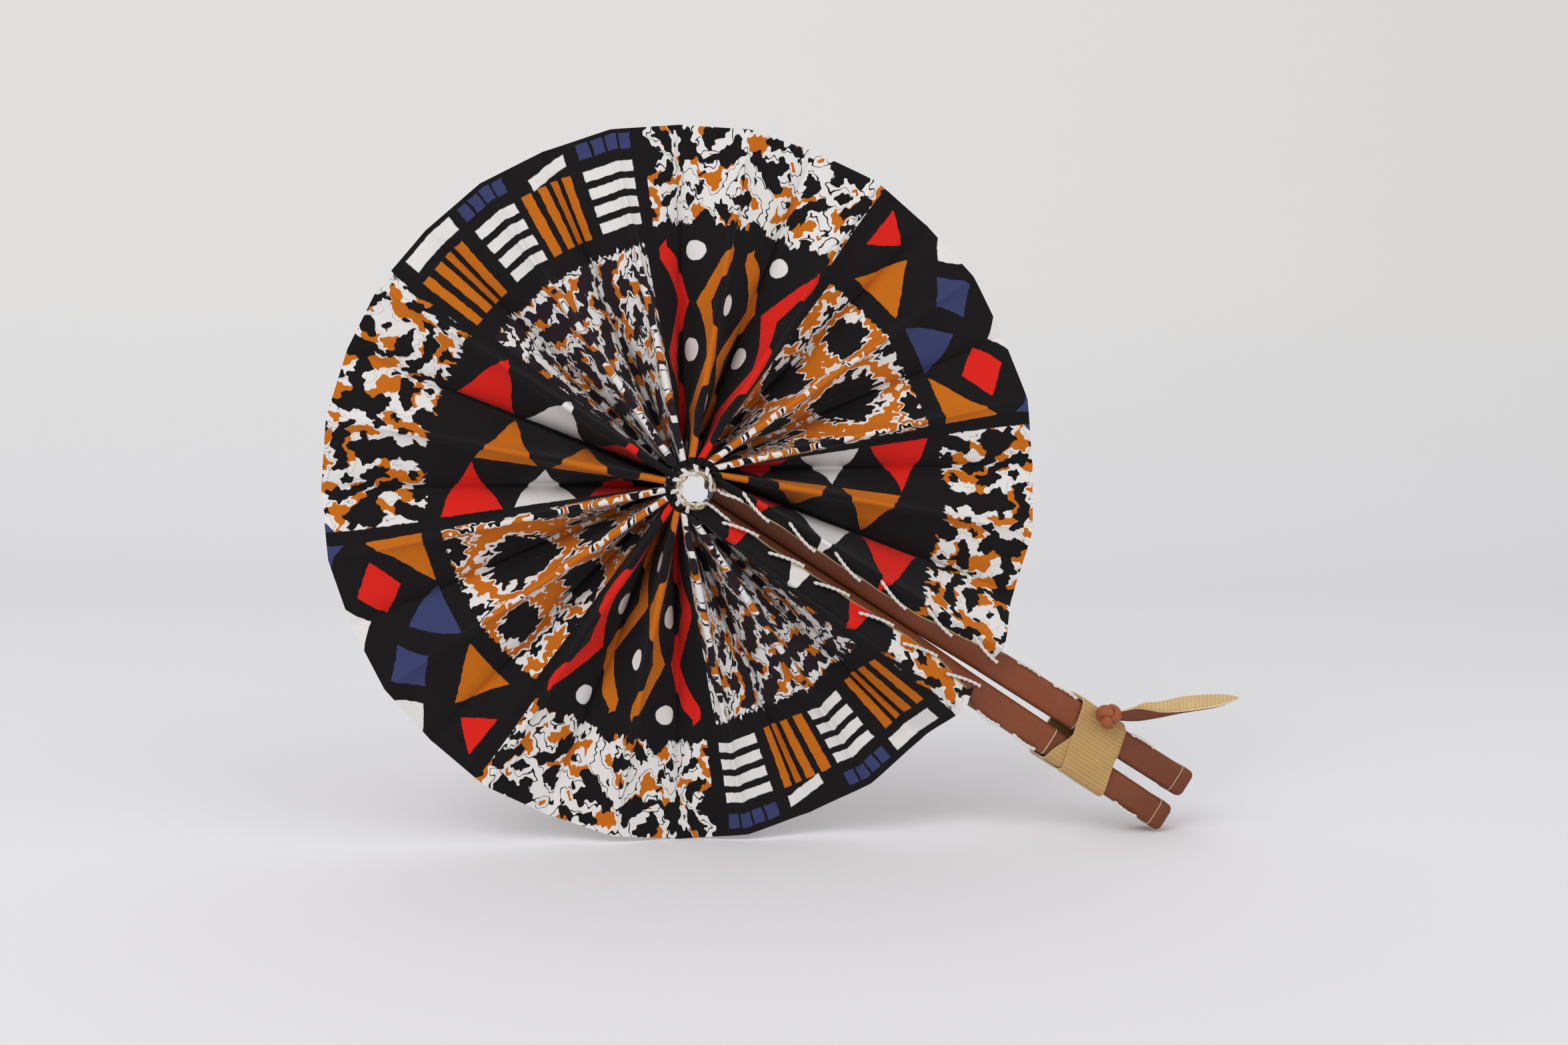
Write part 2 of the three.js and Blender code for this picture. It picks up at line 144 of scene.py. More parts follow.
class Graph:
    def __init__(self, tree):
        self.tree = tree

    # settings are set first, then the sockets, by name or number
    def node(self, kind, settings=None, sockets=None, output=0):
        made = self.tree.nodes.new(kind)
        for name, value in (settings or {}).items():
            if name == "stops":
                self.setStops(made.color_ramp, value)
            else:
                setattr(made, name, value)
        for name, value in (sockets or {}).items():
            if isinstance(value, Wire):
                self.tree.links.new(value.socket, made.inputs[name])
            else:
                made.inputs[name].default_value = value
        return Wire(self, made.outputs[output])

    def setStops(self, ramp, stops):
        ramp.interpolation = "CONSTANT"
        while len(ramp.elements) < len(stops):
            ramp.elements.new(1)
        for element, (place, colour) in zip(ramp.elements, stops):
            element.position = place
            element.color = colour

    def math(self, operation, *values, clamp=False):
        settings = {"operation": operation, "use_clamp": clamp}
        return self.node("ShaderNodeMath", settings, dict(enumerate(values)))

    # sets the material and ends a geometry tree
    def leave(self, geometry, finish):
        whole = self.node("GeometryNodeRealizeInstances", None, {"Geometry": geometry})
        painted = self.node("GeometryNodeSetMaterial", None, {"Geometry": whole, "Material": finish})
        self.tree.links.new(painted.socket, self.tree.nodes.new("NodeGroupOutput").inputs[0])

    def greatest(self, first, *others, operation="MAXIMUM"):
        for other in others:
            first = self.math(operation, first, other)
        return first

    def least(self, *values):
        return self.greatest(*values, operation="MINIMUM")

    def vector(self, x, y, z):
        return self.node("ShaderNodeCombineXYZ", None, {0: x, 1: y, 2: z})

    def vectorMath(self, operation, first, second, output=0):
        sockets = {0: first, 3 if operation == "SCALE" else 1: second}
        return self.node("ShaderNodeVectorMath", {"operation": operation}, sockets, output)

    def mixVectors(self, share, first, second):
        sockets = {0: share, 4: first, 5: second}
        return self.node("ShaderNodeMix", {"data_type": "VECTOR"}, sockets, output=1)

    def split(self, vector):
        made = self.node("ShaderNodeSeparateXYZ", None, {0: vector})
        return [Wire(self, output) for output in made.socket.node.outputs]


# A geometry tree's graph, and wires from its inputs, which are given by name and kind
def geometryTree(name, inputs, output):
    tree = bpy.data.node_groups.new(name, "GeometryNodeTree")
    for label, kind in inputs:
        tree.interface.new_socket(label, in_out="INPUT", socket_type="NodeSocket" + kind)
    tree.interface.new_socket(output, in_out="OUTPUT", socket_type="NodeSocketGeometry")
    g = Graph(tree)
    entry = g.node("NodeGroupInput").socket.node
    return g, [Wire(g, socket) for socket in entry.outputs[:len(inputs)]]


def colour(red, green, blue):
    def linear(level):
        level /= 255
        return level / 12.92 if level <= 0.04045 else ((level + 0.055) / 1.055) ** 2.4
    return (linear(red), linear(green), linear(blue), 1)


# A material on the Principled shader. constants are set on the shader's own sockets.
class Finish(Graph):
    def __init__(self, name, constants):
        self.material = bpy.data.materials.new(name)
        self.material.use_nodes = True
        super().__init__(self.material.node_tree)
        self.shader = self.tree.nodes["Principled BSDF"]
        for socket, value in constants.items():
            self.shader.inputs[socket].default_value = value

    def feed(self, socket, wire):
        self.tree.links.new(wire.socket, self.shader.inputs[socket])

    def place(self):
        return self.node("ShaderNodeTexCoord", output=3)

    def noise(self, vector, scale, detail=2, roughness=0.5, distortion=0):
        return self.node("ShaderNodeTexNoise", None, {
            "Vector": vector, "Scale": scale, "Detail": detail,
            "Roughness": roughness, "Distortion": distortion,
        })

    def mixColour(self, share, first, second, way="MIX"):
        settings = {"data_type": "RGBA", "blend_type": way}
        return self.node("ShaderNodeMix", settings, {0: share, 6: first, 7: second}, output=2)

    def bump(self, height, strength, distance):
        sockets = {"Height": height, "Strength": strength, "Distance": distance}
        self.feed("Normal", self.node("ShaderNodeBump", None, sockets))


inks = {
    "black": colour(20, 17, 19),
    "aubergine": colour(38, 27, 33),
    "orange": colour(200, 108, 18),
    "red": colour(223, 34, 24),
    "white": colour(232, 229, 226),
    "navy": colour(58, 65, 108),
}

# The print repeats round the cloth: x runs round it and v from the hub to the rim, in millimetres
printed = {
    "repeat": 398.5,
    "before": 8,  # how much of a repeat lies before the first crease
    "slant": 2.5,  # it stands this much nearer the hub for each metre round
    "bandFrom": 84.5,  # where the outer patterns start
    "insideTo": 79.5,  # where the inner ones end
    "hubEdge": 3,
    "edge": 0.3,  # the width over which one ink runs into the next
    "tremble": 0.8,
}


def printedCotton():
    f = Finish("printedCotton", {
        "Roughness": 0.9, "Specular IOR Level": 0.18, "Sheen Weight": 0.04, "Sheen Roughness": 0.5})
    uv = f.node("ShaderNodeUVMap", {"uv_map": "fabric"})
    across, along, _ = f.split(uv)
    trembleX = f.noise(uv, 380, 1)
    trembleV = f.noise(uv, 330, 1)
    before = printed["before"]
    x = (across * 1000 + before + (trembleX - 0.5) * printed["tremble"]) % printed["repeat"] - before
    v = along * 1000 + across * printed["slant"] + (trembleV - 0.5) * printed["tremble"]

    # signed distances in millimetres, negative inside
    def inside(distance):
        return f.math("MULTIPLY_ADD", distance, -1 / printed["edge"], 0.5, clamp=True)

    def span(value, start, end):
        return abs(value - (start + end) / 2) - (end - start) / 2

    def block(fromX, toX, fromV, toV, px=x, pv=v):
        return f.greatest(span(px, fromX, toX), span(pv, fromV, toV))

    def bars(value, start, pitch, width):
        return abs((value - start) % pitch - width / 2) - width / 2

    def diamond(centreX, centreV, halfX, halfV):
        return (abs(x - centreX) / halfX + abs(v - centreV) / halfV - 1) * min(halfX, halfV)

    def arrowLeft(edge, centreV, pitchV):
        off = abs((v - centreV + pitchV / 2) % pitchV - pitchV / 2)
        return f.greatest(x - edge, off - (x - edge + 29.5) * 0.36)

    def peak(centreX, top, bottom, half):
        slope = half / (top - bottom)
        return f.greatest(abs(x - centreX) - (top - v) * slope, bottom - v)

    def oval(centreX, centreV, halfX, halfV):
        a = (x - centreX) / halfX
        b = (v - centreV) / halfV
        reach = f.math("SQRT", a * a + b * b)
        return (reach - 1) * min(halfX, halfV)

    def steps(value, stops):
        return f.node("ShaderNodeValToRGB", {"stops": [(p, inks[c]) for p, c in stops]}, {0: value})

    def cloudy(px, pv, seed, detail=0):
        return f.noise(f.vector(px, pv, seed), 1, detail)

    # a place in the print, moved a little so that the edges of what is drawn from it run into drips
    def frayed(seed, dripWidth, dripLength):
        aside = cloudy(x / dripWidth / 1.7, v / dripWidth, seed)
        lengthways = cloudy(x / dripWidth, v / dripWidth / 1.8, seed + 5)
        return x + (aside - 0.5) * dripLength * 0.6, v + (lengthways - 0.5) * dripLength

    # feathered blotches of white and orange between dark ones, with thin dark threads
    def blotches(seed, size, light, orangeFrom, thread, dark="black", dripWidth=2, dripLength=4.5):
        px, pv = frayed(seed, dripWidth, dripLength)
        height = cloudy(px / size, pv / size, seed + 2, 0.5)
        weave = cloudy(px / size * 1.25, pv / size * 1.25, seed + 7, 0.5)
        patches = f.mixColour(inside((orangeFrom - weave) * 40), inks["white"], inks["orange"])
        middle, half = (light[0] + light[1]) / 2, (light[1] - light[0]) / 2
        drawn = f.least(half - abs(height - middle), abs(weave - 0.46) - thread)
        return f.mixColour(inside(drawn * 40), patches, inks[dark])

    layers = []  # (mask, colour), from the ground up

    def lay(distance, ink):
        layers.append((inside(distance), inks[ink] if isinstance(ink, str) else ink))

    edge = printed["bandFrom"]
    top = printed["insideTo"]
    ragged = (cloudy(x * 0.4, 0, 3, 1) - 0.5) * 11

    # first quarter: blotches outside, rows of triangles inside
    lay(block(-6.2, 90, edge, 130, pv=v + ragged), blotches(21, 9, (0.45, 0.62), 0.53, 0.003))
    for right in (24, 89.5):
        lay(f.greatest(arrowLeft(right, 18, 51), v - top), "red")
        lay(f.greatest(arrowLeft(right, 43.8, 51), v - top), "white")
    lay(f.greatest(arrowLeft(58, 4.6, 26.4), v - 70), "orange")

    # second quarter: squares and triangles outside, large ringed islands inside
    for centreX, centreV, ink in ((115, 105.6, "red"), (148, 107.5, "navy"), (187.5, 106, "red")):
        lay(f.greatest(diamond(centreX, centreV, 10.2, 7.6), x - 187.8), ink)
    for centreX, peakV, half, ink in ((95.5, 105.5, 23, "orange"), (134.5, 101.3, 12.6, "navy"),
                                      (169.4, 103.8, 13.8, "orange")):
        lay(f.greatest(peak(centreX, peakV, 86.4, half), 94.8 - x), ink)
    for centreX, ink in ((126, "white"), (162, "white"), (94, "navy")):
        lay(f.greatest(abs(x - centreX) - (v - 111.8) * 1.2, 111.8 - v), ink)
    px, pv = frayed(31, 2.4, 7)
    shores = cloudy(px / 7, pv / 7, 33, 1)
    islands = [(((px - cx) / hx), ((pv - cv) / hv)) for cx, cv, hx, hv in (
        (126.5, 57, 15.5, 12), (172, 42.5, 16, 8), (163, 69, 9, 8), (137, 29, 11, 6.5),
        (181, 22, 9, 5), (108, 77, 6, 4), (104, 34, 6, 3.5), (112, 9, 7, 5), (158, 9, 9, 4))]
    nearest = f.least(*[a * a + b * b for a, b in islands])
    reach = f.math("SQRT", nearest) - 1 + (shores - 0.5) * 1.5
    rings = steps((reach / 1.9) % 1, [
        (0, "white"), (0.1, "orange"), (0.36, "white"), (0.47, "black"), (0.64, "white"),
        (0.74, "orange")])
    lay(block(94.8, 189.8, -5, top, pv=v + ragged * 0.35),
        f.mixColour(inside(reach * 6), rings, inks["black"]))

    # third quarter: fine blotches outside, zigzags and dots inside
    lay(block(195, 287.5, edge - 0.5, 130, pv=v + ragged * 0.5),
        blotches(11, 8.6, (0.44, 0.65), 0.59, 0.015))
    middle = abs(x - 241)
    turn = 1 - abs((v + 19) % 38.2 - 19.1) / 19.1
    taper = f.greatest((v - 72.5) * 0.7, 0)
    lay(abs(middle - 18 + turn * 13) - 4 + taper, "orange")
    lay(abs(middle - 30.5 - turn * 13) - 4.5 + taper, "red")
    for centreX in (217.4, 265):
        for centreV, half in ((75.2, 3.4), (40.8, 4.1), (6, 3.6)):
            lay(oval(centreX, centreV, half * 1.3, half), "white")
    for centreV in (57, 22):
        lay(oval(241.5, centreV, 2.7, 3.7), "white")

    # last quarter: striped blocks outside, fine blotches inside
    for left, tall, pitch in ((292, 20.3, 6), (341, 19.6, 6.5)):
        lay(f.greatest(block(left, left + tall, 84, 107.6), bars(v, 84.9, 6.1, 3.7)), "white")
        lay(f.greatest(block(left, left + tall, 111, 116.3), bars(x, left, 5.3, 4.3)), "navy")
        lay(f.greatest(block(left + 24.6, left + 22.8 + 4 * pitch, 84.6, 107.3),
                       bars(x, left + 24.7, pitch, pitch * 0.6)), "orange")
    lay(block(317, 333.5, 110.6, 114.6, pv=v + (x - 317) * 0.2), "white")
    lay(block(364, 386.5, 110.8, 116.2), "white")
    lay(block(292, 388.5, -5, top - 2, pv=v + ragged * 0.8),
        blotches(42, 8.5, (0.45, 0.63), 0.57, 0.018, "aubergine", 2.1, 5))

    # borders between the quarters, and the edge sewn in at the hub
    for fromX, toX in ((90, 95), (189.8, 195), (287.5, 292), (388.4, 400), (-10, -6.2)):
        lay(span(x, fromX, toX), "black")
    lay(v - printed["hubEdge"] + ragged * 0.4, "black")

    shade = f.noise(uv, 90, 3)
    ground = f.mixColour(shade, inks["black"], colour(24, 20, 22))
    for mask, ink in layers:
        ground = f.mixColour(mask, ground, ink)
    thread = f.noise(f.vector(across * 2600, along * 2600, 0), 1, 2, 0.7)
    ground = f.mixColour(0.22, ground, thread * 0.5 + 0.75, "MULTIPLY")
    f.feed("Base Color", ground)
    weft = f.math("SINE", across * 12600)
    warp = f.math("SINE", along * 12600)
    f.bump(weft * warp + thread, 0.35, 0.00012)
    return f.material


# Leather whose colour darkens towards the hub: painted shade, for the recessed channel between the pleats
# there
def leatherFinish(name, base, dark, hubShadeTone):
    f = Finish(name, {"Specular IOR Level": 0.35})
    place = f.place()
    away = f.vectorMath("DISTANCE", place, Vector(fan["hub"]) * mm, output=1)
    cloudy = f.noise(place, 45, 4, 0.6)
    fine = f.noise(place, 700, 3, 0.6)
    rubbed = f.noise(place, 14, 2)
    tone = f.mixColour(cloudy * 0.9 + (fine - 0.5) * 0.45, dark, base)
    # painted shade: the full shaded tone within about 30 mm of the hub, fading out by about 147 mm
    hubShade = f.math("MULTIPLY_ADD", away, -8.5, 1.25, clamp=True)
    scuffed = f.math("MULTIPLY_ADD", rubbed, 3, -1.7, clamp=True) * 0.3
    tone = f.mixColour(hubShade, tone, hubShadeTone)
    f.feed("Base Color", f.mixColour(scuffed, tone, colour(170, 100, 58)))
    f.feed("Roughness", 0.44 + fine * 0.22)
    cells = f.node("ShaderNodeTexVoronoi", {"feature": "DISTANCE_TO_EDGE"}, {
        "Vector": place, "Scale": 900})
    f.bump(cells * 0.5 + fine * 0.7, 0.4, 0.00022)
    return f.material


def edgeFinish(name, dark, pale):
    f = Finish(name, {"Roughness": 0.85})
    fibres = f.noise(f.place(), 1900, 4, 0.7)
    f.feed("Base Color", f.mixColour(fibres, dark, pale))
    f.bump(fibres, 0.6, 0.0003)
    return f.material


def cordFinish():
    f = Finish("waxedCord", {"Roughness": 0.62, "Sheen Weight": 0.2})
    fibres = f.noise(f.place(), 2600, 3, 0.6)
    patches = f.noise(f.place(), 160, 2)
    tone = f.mixColour(fibres, colour(212, 209, 203), colour(242, 241, 238))
    f.feed("Base Color", f.mixColour(patches * 0.2, tone, colour(206, 182, 140)))
    f.bump(fibres, 0.5, 0.0002)
    return f.material


# Ribbed webbing: its UV map gives millimetres, x across the band and y along it
def webbingFinish(name, dark, pale):
    f = Finish(name, {"Roughness": 0.8, "Sheen Weight": 0.15})
    uv = f.node("ShaderNodeUVMap", {"uv_map": "webbing"})
    acrossBand, alongBand, _ = f.split(uv)
    rib = f.math("SINE", alongBand * 4200)
    thread = f.noise(f.vector(acrossBand * 1500, alongBand * 5000, 0), 1, 3, 0.6)
    warmth = f.noise(f.place(), 90, 3)
    tone = f.mixColour(warmth, dark, pale)
    tone = f.mixColour(0.45, tone, rib * 0.18 + thread * 0.4 + 0.62, "MULTIPLY")
    f.feed("Base Color", tone)
    f.bump(rib * 0.6 + thread * 0.7, 0.7, 0.00035)
    return f.material


def woodFinish():
    f = Finish("bareWood", {"Roughness": 0.6})
    place = f.node("ShaderNodeMapping", None, {
        "Vector": f.place(), "Rotation": (0, math.radians(-fan["handleAngle"]), 0), "Scale": (1, 12, 12)})
    grain = f.noise(place, 40, 4, 0.6, 0.6)
    f.feed("Base Color", f.mixColour(grain, colour(128, 88, 52), colour(196, 152, 100)))
    f.bump(grain, 0.25, 0.0003)
    return f.material


cotton = printedCotton()
# the third tone of each leather is its painted shade near the hub
leather, thongLeather, sleeveLeather, innerLeather = (
    leatherFinish(name, *(colour(*levels) for levels in tones)) for name, *tones in (
        ("saddleLeather", (145, 76, 40), (116, 57, 31), (88, 47, 28)),
        ("thongLeather", (176, 98, 58), (142, 74, 42), (92, 50, 30)),
        ("sleeveLeather", (121, 62, 32), (98, 48, 26), (88, 47, 28)),
        ("innerLeather", (70, 44, 34), (50, 32, 26), (48, 32, 27))))
cutEdge = edgeFinish("cutEdge", colour(168, 138, 92), colour(222, 198, 150))
paleEdge = edgeFinish("paleEdge", colour(206, 184, 138), colour(240, 226, 190))
waxedCord = cordFinish()
webbing = webbingFinish("ribbedWebbing", colour(188, 146, 86), colour(212, 172, 108))
tailWebbing = webbingFinish("tailWebbing", colour(212, 178, 122), colour(240, 210, 152))
wood = woodFinish()
print("materials made:", len(bpy.data.materials))


def placed(name, data):
    made = bpy.data.objects.new(name, data)
    bpy.context.scene.collection.objects.link(made)
    return made


def meshObject(name, points, faces, finishes, marks=None, sharp=40):
    mesh = bpy.data.meshes.new(name)
    mesh.from_pydata([tuple(p) for p in points], [], faces)
    for finish in finishes:
        mesh.materials.append(finish)
    if marks:
        mesh.polygons.foreach_set("material_index", marks)
    edit = bmesh.new()
    edit.from_mesh(mesh)
    bmesh.ops.recalc_face_normals(edit, faces=edit.faces)
    edit.to_mesh(mesh)
    edit.free()
    mesh.shade_smooth()
    mesh.set_sharp_from_angle(angle=math.radians(sharp))
    return placed(name, mesh)


# uvs has a place for every point of the mesh
def addUv(made, name, uvs):
    layer = made.data.uv_layers.new(name=name)
    for loop in made.data.loops:
        layer.data[loop.index].uv = uvs[loop.vertex_index]


# The object as its modifiers leave it, in a plain mesh object of the same name
def plain(source):
    name = source.name
    depsgraph = bpy.context.evaluated_depsgraph_get()
    mesh = bpy.data.meshes.new_from_object(source.evaluated_get(depsgraph))
    bpy.data.objects.remove(source)
    if mesh.materials[0] is None:
        mesh.materials.pop(index=0)
    mesh.name = name
    return placed(name, mesh)


def setInputs(source, tree, values):
    modifier = source.modifiers.new("nodes", "NODES")
    modifier.node_group = tree
    for item in tree.interface.items_tree:
        if item.in_out == "INPUT" and item.name in values:
            modifier[item.identifier] = values[item.name]


def addWall(source, thickness):
    wall = source.modifiers.new("wall", "SOLIDIFY")
    wall.thickness = thickness * mm
    wall.offset = 0


# A body through closed rings of points, the last of which may meet the first.
# mark gives a face's material from its ring and place.
def loft(name, rings, finishes, mark=lambda r, i: 0, closed=False):
    count = len(rings[0])
    faces = []
    marks = []
    for r in range(len(rings) if closed else len(rings) - 1):
        a, b = r * count, (r + 1) % len(rings) * count
        for i in range(count):
            j = (i + 1) % count
            faces.append((a + i, a + j, b + j, b + i))
            marks.append(mark(r, i))
    for r in () if closed else (0, len(rings) - 1):
        faces.append([r * count + i for i in range(count)])
        marks.append(mark(r, -1))
    return meshObject(name, [p for ring in rings for p in ring], faces, finishes, marks)


cloth = {
    "thickness": 0.35,
    "hubStart": -1.17,
    "rows": 48,
    "columns": 27,
    "crestHalfWidth": (0.92, 0.3),  # half width of a crease's round edge, at the hub and at the rim
    "crestDepth": 0.05,
    "crestLap": 0.065,  # how far a strip's edge runs over the crest, to close the seam
    "pinch": 0.85,
    "pinchDepth": 25.9,
    "softness": 0.9,
    "ripple": 1.1,
    "hemWidth": 5.5,
    "innerRadius": 7.43,  # where the cloth meets the band round the hub
}
chain = ["upper_guard"] + [f"hub_{j}" for j in range(1, 8)] + ["lower_guard"]


# One strip of cloth between two creases, which are given by their hub and rim ends
def pleatStripTree():
    ends = ("First hub end", "First rim end", "Second hub end", "Second rim end")
    sizes = ("Strip", "Strip width", "Cloth width", "Hub start", "Crest at hub", "Crest at rim",
             "Crest depth", "Crest lap", "Pinch", "Pinch depth", "Softness", "Ripple")
    g, wires = geometryTree("pleatStrip", [
        *((name, "Vector") for name in ends), *((name, "Float") for name in sizes),
        ("Rows", "Int"), ("Columns", "Int"), ("Finish", "Material")], "Cloth")
    (hubA, rimA, hubB, rimB, strip, stripWidth, clothWidth, hubStart, crestHub, crestRim, crestDepth,
     crestLap, pinch, pinchDepth, softness, ripple, rows, columns, finish) = wires
    grid = g.node("GeometryNodeMeshGrid", None, {
        "Size X": 1, "Size Y": 1, "Vertices X": columns, "Vertices Y": rows})
    flatX, flatY, _ = g.split(g.node("GeometryNodeInputPosition"))

    def eased(value):
        kept = g.math("ADD", value, 0, clamp=True)
        return kept * kept * (3 - 2 * kept)

    t = 0.5 - 0.5 * g.math("COSINE", (flatX + 0.5) * math.pi)
    share = hubStart + (flatY + 0.5) * (1 - hubStart)
    start = g.mixVectors(share, hubA, rimA)
    chord = g.vectorMath("SUBTRACT", g.mixVectors(share, hubB, rimB), start)
    chordX, chordY, chordZ = g.split(chord)
    sideways = g.vector(chordX, 0, chordZ)
    wave = t - eased(t)
    pinched = pinch * g.math("SQRT", 4 * share * (1 - share))

    def crestRound(value):
        near = 1 - g.math("MINIMUM", value / crestDepth, 1)
        arc = g.math("SQRT", 1 - near * near)
        return arc * (1 - eased((value - crestDepth) / (0.5 - crestDepth)))

    def atEdge(value):
        return g.math("POWER", 1 - g.math("MINIMUM", value / crestDepth, 1), 40)

    crest = crestHub + (crestRim - crestHub) * eased((share - 0.2) / 0.8)
    bulge = crest * (crestRound(t) - crestRound(1 - t)) - crestLap * (atEdge(t) - atEdge(1 - t))
    along = g.vectorMath("SCALE", sideways, t - pinched * wave)
    crestAside = g.vectorMath("SCALE", g.vectorMath("NORMALIZE", sideways, (0, 0, 0)), bulge)
    place = g.vectorMath("ADD", start, g.vectorMath("ADD", along, crestAside))
    surplus = pinched * (pinchDepth - abs(chordY)) * g.math("SIGN", chordY)
    deep = chordY * t + wave * (surplus - chordY * softness * eased(share))
    crumple = g.node("ShaderNodeTexNoise", None, {"Vector": place, "Scale": 30, "Detail": 1})
    deep = deep + (crumple - 0.5) * ripple * share
    place = g.vectorMath("ADD", place, g.vector(0, deep, 0))
    fabric = g.vector((strip + t) * stripWidth, share * clothWidth, 0)
    mapped = g.node("GeometryNodeStoreNamedAttribute", {"data_type": "FLOAT2", "domain": "CORNER"}, {
        "Geometry": grid, "Name": "fabric", "Value": fabric})
    shaped = g.node("GeometryNodeSetPosition", None, {"Geometry": mapped, "Position": place})
    g.leave(g.node("GeometryNodeSetShadeSmooth", None, {"Geometry": shaped}), finish)
    return g.tree


# A crease, with its hub end moved so that the cloth reaches the band however the crease leans
def clothCrease(k):
    hubEnd, rimEnd = creaseLine(k)
    way = (rimEnd - hubEnd) / fan["clothWidth"]
    out = hubEnd / mm - Vector(fan["hub"])
    out.y = 0
    lean = out.dot(Vector((way.x, 0, way.z)) / mm)
    reach = lean - math.sqrt(lean ** 2 - out.length_squared + cloth["innerRadius"] ** 2)
    extra = (reach + cloth["hubStart"]) / (1 - cloth["hubStart"] / fan["clothWidth"])
    return hubEnd - way * extra, rimEnd


def clothFold(k):
    clothFirst, clothSecond = clothCrease(k - 1), clothCrease(k)
    blank = placed(f"clothFold_{k:02d}", bpy.data.meshes.new("strip"))
    setInputs(blank, pleatTree, {
        "First hub end": clothFirst[0], "First rim end": clothFirst[1],
        "Second hub end": clothSecond[0], "Second rim end": clothSecond[1],
        "Strip": k - 1, "Strip width": fan["foldDepth"] * mm, "Cloth width": fan["clothWidth"] * mm,
        "Hub start": cloth["hubStart"] / fan["clothWidth"],
        "Crest at hub": cloth["crestHalfWidth"][0] * mm, "Crest at rim": cloth["crestHalfWidth"][1] * mm,
        "Crest depth": cloth["crestDepth"], "Crest lap": cloth["crestLap"] * mm,
        "Pinch": cloth["pinch"], "Pinch depth": cloth["pinchDepth"] * mm,
        "Softness": cloth["softness"], "Ripple": cloth["ripple"] * mm,
        "Rows": cloth["rows"], "Columns": cloth["columns"], "Finish": cotton,
    })
    addWall(blank, cloth["thickness"])
    made = plain(blank)
    flatWidth = fan["foldDepth"]
    if k in (1, fan["foldCount"]):
        hem = clothHem("upper", 1) if k == 1 else clothHem("lower", -1)
        made = joined(made.name, [made, hem])
        flatWidth += cloth["hemWidth"]
    made.data.set_sharp_from_angle(angle=math.radians(60))
    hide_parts(f"cloth_fold_{k:02d}")
    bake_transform(made)


cords = {
    "sampleLength": 0.5,
    "plySides": 7,
    "archSteps": 16,
    "seam": (14, 62, 110),  # places that the slanting stitches' seam runs through, along the stick
    "stitchPitch": 16.6,
    "stitchReach": 13.5,
    "stitchAside": {"upper": 2.8, "lower": 2.1},  # from the leather's edge, on the front
    "backAside": 0.3,
    "tucked": (0.7, 2),  # how far a stitch's end lies on the leather, on the front and on the back
    "lifts": (0.75, 0.95),  # of its start and of its end
    "arch": (0.58, 0.96, 1.3),  # its middle: share of the way on, share of the way aside, and lift
    "runPitch": 15.5,
    "runReach": 10,
    "runInset": 0.35,
    "runDepth": 5.9,
    "runSlant": 0.35,
    "runArch": (0.5, 1.1, 0.7),  # share of the way on, and how far out and how far forward
    "runs": {"upper": ((131, 147), (182, 194)), "lower": ((128, 144), (190, 192))},
    # from the hub to the first stitch: along the stick, share of the way to the leather's edge, and lift
    "lead": ((5.4, 0.9, 0), (7.6, 0.72, 0.9), (10.4, 0.86, 1), (13.4, 1.05, 0.9), (16.2, 1, 0.3)),
}
plyInputs = [("Ply radius", "Float"), ("Ply offset", "Float"), ("Twist pitch", "Float"),
             ("Finish", "Material")]


# Turns every spline into a cord of two twisted plies
def twistedCordTree():
    g, (path, radius, offset, pitch, finish) = geometryTree(
        "twistedCord", [("Path", "Geometry"), *plyInputs], "Cord")
    even = g.node("GeometryNodeResampleCurve", {"mode": "LENGTH"}, {
        "Curve": path, "Length": cords["sampleLength"] * mm})
    length = g.node("GeometryNodeSplineParameter", output=1)
    normal = g.node("GeometryNodeInputNormal")
    tangent = g.node("GeometryNodeInputTangent")
    sideways = g.vectorMath("CROSS_PRODUCT", tangent, normal)
    profile = g.node("GeometryNodeCurvePrimitiveCircle", None, {
        "Resolution": cords["plySides"], "Radius": radius})
    both = g.tree.nodes.new("GeometryNodeJoinGeometry")
    for turn in (0, math.pi):
        phase = length / pitch * (2 * math.pi) + turn
        outA = g.vectorMath("SCALE", normal, g.math("COSINE", phase) * offset)
        outB = g.vectorMath("SCALE", sideways, g.math("SINE", phase) * offset)
        out = g.vectorMath("ADD", outA, outB)
        wound = g.node("GeometryNodeSetPosition", None, {"Geometry": even, "Offset": out})
        solid = g.node("GeometryNodeCurveToMesh", None, {
            "Curve": wound, "Profile Curve": profile, "Fill Caps": True})
        g.tree.links.new(solid.socket, both.inputs[0])
    g.leave(Wire(g, both.outputs[0]), finish)
    return g.tree


# Sets a short curved stitch at even steps along a seam
def stitchRowTree(cordTree):
    g, (seam, step, rise, reach, *plyWires) = geometryTree("stitchRow", [
        ("Seam", "Geometry"), ("Step", "Float"), ("Rise", "Vector"), ("Reach", "Vector"),
        *plyInputs], "Stitches")
    spots = g.node("GeometryNodeCurveToPoints", {"mode": "LENGTH"}, {"Curve": seam, "Length": step})
    stitch = g.node("GeometryNodeCurveQuadraticBezier", None, {
        "Resolution": cords["archSteps"], "Start": (0, 0, 0), "Middle": rise, "End": reach})
    rows = g.node("GeometryNodeInstanceOnPoints", None, {"Points": spots, "Instance": stitch})
    paths = g.node("GeometryNodeRealizeInstances", None, {"Geometry": rows})
    cord = g.node("GeometryNodeGroup", {"node_tree": cordTree}, dict(enumerate([paths, *plyWires])))
    g.leave(cord, plyWires[-1])
    return g.tree


def curveObject(name, paths):
    data = bpy.data.curves.new(name, "CURVE")
    data.dimensions = "3D"
    for path in paths:
        spline = data.splines.new("NURBS" if len(path) > 3 else "POLY")
        spline.points.add(len(path) - 1)
        for point, place in zip(spline.points, path):
            point.co = (*place, 1)
        if len(path) > 3:
            spline.order_u = 4
            spline.use_endpoint_u = True
            spline.resolution_u = 12
    return placed(name, data)


